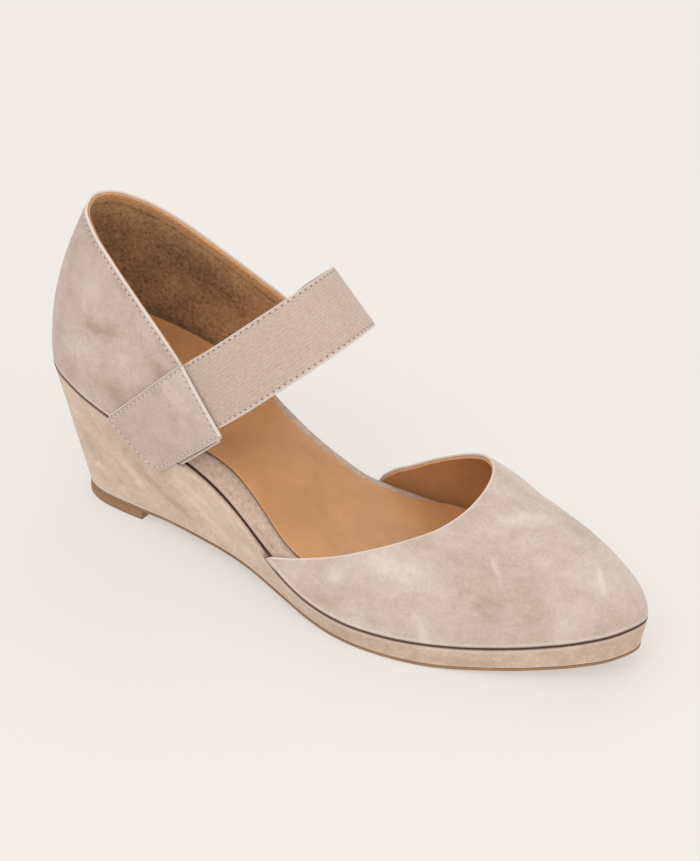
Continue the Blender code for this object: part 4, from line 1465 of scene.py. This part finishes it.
class StrapPieces(ShoeStep, bpy.types.Operator):
    """Elastic strap with raised ribs, and its tan leather backing"""

    bl_idname = "wedge_shoe.strap"
    bl_label = "Strap and backing"

    def execute(self, context):
        self.add_elastic()
        self.add_backing()
        return {"FINISHED"}

    def add_elastic(self):
        thickness = sizes().elastic_thickness / MM
        margin = sizes().strap_margin / MM
        mesh = flat_slab("strap_elastic", STRAP_SIZE, (110, 230), 0.0, thickness, CUT_ROUND)
        flat, u, v, depth = pattern_shares(mesh, STRAP_SIZE)
        from_side = np.minimum(flat[:, 0], STRAP_WIDTH - flat[:, 0])
        rib = 0.5 - 0.5 * np.cos(2 * math.pi * flat[:, 0] / (sizes().rib_pitch / MM))
        ribbed = ease(0.5, margin, from_side)
        rib = rib * ribbed + 0.6 * (1 - ribbed)
        front = 1 - ease(0.0, thickness, depth)
        sewn = SEWN_DEPTH * bell(from_side, margin, SEWN_WIDTH) * front
        lift = (rib - 1) * sizes().rib_height / MM * front
        set_places(mesh, strap_at(u, v, depth - lift + sewn))
        set_pattern_uv(mesh, flat)
        set_attributes(mesh, rib=rib, edge=0.6 * (1 - ease(0.2, 0.8, from_side)))
        add_piece("strap_elastic", mesh, "rose_elastic", "elastic_rose", "strap")

    def add_backing(self):
        front = sizes().elastic_thickness / MM + LAYER_GAP
        mesh = flat_slab("strap_backing_leather", STRAP_SIZE, (24, 150), front, STRAP_THICKNESS, CUT_ROUND)
        flat, u, v, depth = pattern_shares(mesh, STRAP_SIZE)
        margin = BACKING_INSET / STRAP_WIDTH
        set_places(mesh, strap_at(margin + (1 - 2 * margin) * u, v, depth))
        from_side = np.minimum(flat[:, 0], STRAP_WIDTH - flat[:, 0])
        set_attributes(mesh, edge=0.5 * (1 - ease(0.1, 0.6, from_side)))
        add_piece("strap_backing_leather", mesh, "tan_leather", "leather_tan")


def round_lower_corners(across, upward, radius):
    """Flat tab places, with the two square lower corners drawn into arcs."""
    side = np.where(across < TAB_WIDTH / 2, -1.0, 1.0)
    p = np.abs(across - TAB_WIDTH / 2) - (TAB_WIDTH / 2 - radius)
    q = radius - upward
    corner = (p > 0) & (q > 0)
    shrink = np.maximum(p, q) / np.maximum(np.hypot(p, q), 1e-9)
    p = np.where(corner, p * shrink, p)
    q = np.where(corner, q * shrink, q)
    return TAB_WIDTH / 2 + side * (p + TAB_WIDTH / 2 - radius), radius - q


class TabPiece(ShoeStep, bpy.types.Operator):
    """Suede tab with rounded lower corners, pale cut edges and a sewn-down border"""

    bl_idname = "wedge_shoe.tab"
    bl_label = "Strap tab"

    def execute(self, context):
        margin = sizes().tab_margin / MM
        size = np.array([TAB_WIDTH, TAB_LENGTH])
        mesh = flat_slab("tab_suede", size, (56, 92), 0.0, TAB_THICKNESS, TAB_ROUND)
        flat = vertex_array(mesh)
        depth = -flat[:, 2]
        from_edge = np.minimum(flat[:, :2], size - flat[:, :2]).min(axis=1)
        front = 1 - ease(0.0, TAB_THICKNESS, depth)
        sewn = SEWN_DEPTH * bell(from_edge, margin, SEWN_WIDTH) * front
        swell = 0.25 * ease(margin, margin + 5.0, from_edge) * front
        across, upward = round_lower_corners(flat[:, 0], flat[:, 1], TAB_CORNER_RADIUS)
        set_places(mesh, tab_at(across, upward, depth + sewn - swell))
        top_edge = 1 - ease(0.5, 1.0, TAB_LENGTH - flat[:, 1])
        pale = np.maximum(1 - ease(0.3, 0.8, from_edge), ease(0.35, 0.8, depth))
        set_attributes(mesh, edge=np.maximum(pale, top_edge), seam=0.0, nap=-0.12)
        add_piece("tab_suede", mesh, "taupe_suede", "suede_taupe", "strap_tab")
        return {"FINISHED"}


def sewing_line(points, normals):
    """Needle places along a line of points, with the thread's and the face's direction at each."""
    lengths = chord_lengths(points)
    pitch = sizes().stitch_pitch / MM
    count = max(2, round(lengths[-1] / pitch))
    at = np.linspace(0, lengths[-1], count + 1)
    places = np.stack([np.interp(at, lengths, points[:, k]) for k in range(3)], axis=1)
    facing = np.stack([np.interp(at, lengths, normals[:, k]) for k in range(3)], axis=1)
    return places, unit(facing)


def thread_frame(centre, run, facing, half):
    """A matrix that stretches a unit ball into a stitch that runs one way and faces another."""
    run = unit(run)
    side = unit(np.cross(facing, run))
    up = np.cross(run, side)
    matrix = Matrix.Identity(4)
    for k, (axis, reach) in enumerate(((side, half[0]), (up, half[1]), (run, half[2]))):
        matrix.col[k] = (*(axis * reach), 0.0)
    matrix.translation = Vector(centre)
    return matrix


class StitchPieces(ShoeStep, bpy.types.Operator):
    """Threads and needle holes along the collar, the tab and both edges of the strap, front and back"""

    bl_idname = "wedge_shoe.stitches"
    bl_label = "Stitches"

    def execute(self, context):
        lines = {"collar": self.collar_lines(), "tab": self.tab_lines(), "strap": self.strap_lines()}
        holes, inner = bmesh.new(), bmesh.new()
        for name, rows in lines.items():
            threads = bmesh.new()
            for points, normals, inside in rows:
                bodies = (inner, None) if inside else (threads, holes)
                self.sew(*bodies, *sewing_line(points, normals))
            self.add(threads, f"{name}_threads", "sewing_thread")
        self.add(inner, "inner_threads", "lining_thread")
        self.add(holes, "needle_holes", "needle_hole")
        return {"FINISHED"}

    def add(self, bm, name, finish):
        mesh = mesh_from(bm, name)
        set_places(mesh, vertex_array(mesh))
        add_piece(name, mesh, finish, "suede_taupe")

    def sew(self, threads, holes, places, facing):
        width = sizes().thread_width / MM / 2
        hole = sizes().hole_width / MM / 2
        reach = sizes().stitch_length / MM / 2
        for k in range(len(places) - 1):
            run = places[k + 1] - places[k]
            middle = (places[k] + places[k + 1]) / 2
            normal = facing[k] + facing[k + 1]
            stitch = thread_frame(middle, run, unit(normal), (width, 0.7 * width, reach))
            bmesh.ops.create_uvsphere(threads, u_segments=8, v_segments=6, radius=1.0, matrix=stitch)
        # The needle holes are flat dark dots of painted shade.
        for k, place in enumerate(places if holes else ()):
            run = places[min(k + 1, len(places) - 1)] - places[max(k - 1, 0)]
            dent = thread_frame(place, run, facing[k], (hole, 0.22 * hole, hole))
            bmesh.ops.create_uvsphere(holes, u_segments=8, v_segments=4, radius=1.0, matrix=dent)

    def collar_lines(self):
        margin = sizes().collar_margin / MM
        u = np.linspace(COLLAR_ROW_END, 1 - COLLAR_ROW_END, LINE_POINTS)
        v = 1 - margin / np.linalg.norm(quarter_surface(u, 1.0) - quarter_surface(u, 0.0), axis=1)
        facing = quarter_outward(u, v)
        outside = quarter_at(u, v, COLLAR_THREAD_DEPTH)
        inside = quarter_at(u, v, UPPER_THICKNESS + INNER_THREAD_RISE)
        return [(outside, facing, False), (inside, -facing, True)]

    def tab_lines(self):
        margin = sizes().tab_margin / MM
        inner = TAB_CORNER_RADIUS - margin
        turn = np.radians(np.linspace(0, 90, 12))
        left, right = margin, TAB_WIDTH - margin
        arc_x, arc_y = inner * (1 - np.cos(turn)), inner * (1 - np.sin(turn))
        corners = [(left, TAB_LENGTH - margin)]
        corners += list(zip(left + arc_x, margin + arc_y))
        corners += list(zip(right - arc_x[::-1], margin + arc_y[::-1]))
        corners += [(right, TAB_LENGTH - margin), (left, TAB_LENGTH - margin)]
        corners = np.array(corners)
        lengths = chord_lengths(corners)
        at = np.linspace(0, lengths[-1], TAB_LINE_POINTS)
        across, upward = (np.interp(at, lengths, corners[:, k]) for k in range(2))
        points = tab_at(across, upward, STRAP_THREAD_DEPTH)
        return [(points, unit(tab_at(across, upward, STRAP_THREAD_DEPTH - 1.0) - points), False)]

    def strap_lines(self):
        margin = sizes().strap_margin / MM / STRAP_WIDTH
        v = np.linspace(STRAP_KNOTS[2] + STRAP_ROW_START, STRAP_ROW_END, LINE_POINTS)
        rows = []
        for u in (np.full(LINE_POINTS, margin), np.full(LINE_POINTS, 1 - margin)):
            facing = outward(strap_surface, u, v)
            rows.append((strap_at(u, v, STRAP_THREAD_DEPTH), facing, False))
            rows.append((strap_at(u, v, STRAP_THICKNESS + INNER_THREAD_RISE), -facing, True))
        return rows


class StudioStage(ShoeStep, bpy.types.Operator):
    """Pale floor that curves up far away, soft lights and the camera"""

    bl_idname = "wedge_shoe.stage"
    bl_label = "Studio"

    def execute(self, context):
        stage = context.scene.wedge_shoe_stage
        self.add_floor(stage)
        self.add_world(context.scene, stage)
        for name, place, size, power in LIGHTS:
            self.add_light(name, place, size, getattr(stage, power))
        self.add_camera(context.scene, stage)
        context.scene.view_settings.view_transform = "Standard"
        return {"FINISHED"}

    def add_floor(self, stage):
        bm = bmesh.new()
        turn = np.radians(np.linspace(0, 90, FLOOR_CURVE_STEPS + 1))
        far = stage.floor_radius + FLOOR_CURVE * np.sin(turn)
        line = [(0.0, 0.0), *zip(far, FLOOR_CURVE * (1 - np.cos(turn)))]
        verts = [bm.verts.new((x, 0.0, z - FLOOR_DROP)) for x, z in line]
        edges = [bm.edges.new(pair) for pair in zip(verts, verts[1:])]
        bmesh.ops.spin(
            bm,
            geom=verts + edges,
            cent=(0, 0, 0),
            axis=(0, 0, 1),
            angle=math.tau,
            steps=FLOOR_STEPS,
            use_merge=True,
        )
        bmesh.ops.remove_doubles(bm, verts=bm.verts, dist=MERGE_DISTANCE * MM)
        bmesh.ops.recalc_face_normals(bm, faces=bm.faces)
        mesh = mesh_from(bm, "floor")
        if mesh.polygons[0].normal.z < 0:
            mesh.flip_normals()
        mesh.shade_smooth()
        paper = Finish("pale_paper", roughness=0.9, specular=0.1)
        paper.shader.inputs["Emission Color"].default_value = rgba(stage.floor_glow_colour)
        paper.shader.inputs["Emission Strength"].default_value = stage.floor_glow
        paler = [1.01 * part for part in stage.floor_colour]
        paper.colour(paper.mix(paper.noise(3.0, 2.0), stage.floor_colour, paler))
        mesh.materials.append(paper.material)
        floor = bpy.data.objects.new("floor", mesh)
        bpy.context.scene.collection.objects.link(floor)

    def add_world(self, scene, stage):
        scene.world = bpy.data.worlds.new("studio")
        scene.world.use_nodes = True
        sky = scene.world.node_tree.nodes["Background"]
        sky.inputs["Color"].default_value = rgba(LIGHT_COLOUR)
        sky.inputs["Strength"].default_value = stage.ambient

    def add_light(self, name, place, size, power):
        light = bpy.data.lights.new(name, "AREA")
        light.shape = "DISK"
        light.size = size
        light.energy = power
        light.color = LIGHT_COLOUR
        lamp = bpy.data.objects.new(name, light)
        lamp.location = place
        lamp.rotation_euler = (Vector(LIGHT_AIM) - Vector(place)).to_track_quat("-Z", "Y").to_euler()
        bpy.context.scene.collection.objects.link(lamp)

    def add_camera(self, scene, stage):
        azimuth, elevation = stage.camera_azimuth, stage.camera_elevation
        back = Vector((
            math.sin(azimuth) * math.cos(elevation),
            -math.cos(azimuth) * math.cos(elevation),
            math.sin(elevation),
        ))
        lens = bpy.data.cameras.new("camera")
        lens.lens = stage.camera_lens
        lens.sensor_width = 36.0
        lens.clip_start, lens.clip_end = 0.01, 50.0
        camera = bpy.data.objects.new("camera", lens)
        facing = (-back).to_track_quat("-Z", "Y").to_matrix().to_4x4()
        place = Matrix.Translation(Vector(stage.camera_aim) + back * stage.camera_distance)
        camera.matrix_world = place @ facing @ Matrix.Rotation(stage.camera_roll, 4, "Z")
        scene.collection.objects.link(camera)
        scene.camera = camera


PIECE_OPERATORS = (
    SolePieces,
    WedgePiece,
    FootbedPieces,
    VampPieces,
    QuarterPieces,
    StrapPieces,
    TabPiece,
    StitchPieces,
    StudioStage,
)


class WedgeShoePanel(bpy.types.Panel):
    """The shoe's sizes, colours and steps"""

    bl_idname = "VIEW3D_PT_wedge_shoe"
    bl_label = "Wedge Shoe"
    bl_space_type = "VIEW_3D"
    bl_region_type = "UI"
    bl_category = "Wedge Shoe"

    def draw(self, context):
        scene = context.scene
        for operator in PIECE_OPERATORS:
            self.layout.operator(operator.bl_idname)
        for group in (scene.wedge_shoe_sizes, scene.wedge_shoe_colours, scene.wedge_shoe_stage):
            box = self.layout.box()
            for name in group.__annotations__:
                box.prop(group, name)


GROUPS = {
    "wedge_shoe_sizes": WedgeShoeSizes,
    "wedge_shoe_colours": WedgeShoeColours,
    "wedge_shoe_stage": WedgeShoeStage,
}


def register():
    for cls in (*GROUPS.values(), *PIECE_OPERATORS, WedgeShoePanel):
        bpy.utils.register_class(cls)
    for name, group in GROUPS.items():
        setattr(bpy.types.Scene, name, bpy.props.PointerProperty(type=group))


def unregister():
    for name in GROUPS:
        delattr(bpy.types.Scene, name)
    for cls in reversed((*GROUPS.values(), *PIECE_OPERATORS, WedgeShoePanel)):
        bpy.utils.unregister_class(cls)


def main():
    register()
    bpy.ops.wedge_shoe.stage()
    bpy.ops.wedge_shoe.sole()
    bpy.ops.wedge_shoe.wedge()
    bpy.ops.wedge_shoe.footbed()
    bpy.ops.wedge_shoe.vamp()
    bpy.ops.wedge_shoe.quarter()
    bpy.ops.wedge_shoe.strap()
    bpy.ops.wedge_shoe.tab()
    bpy.ops.wedge_shoe.stitches()


if __name__ == "__main__":
    main()
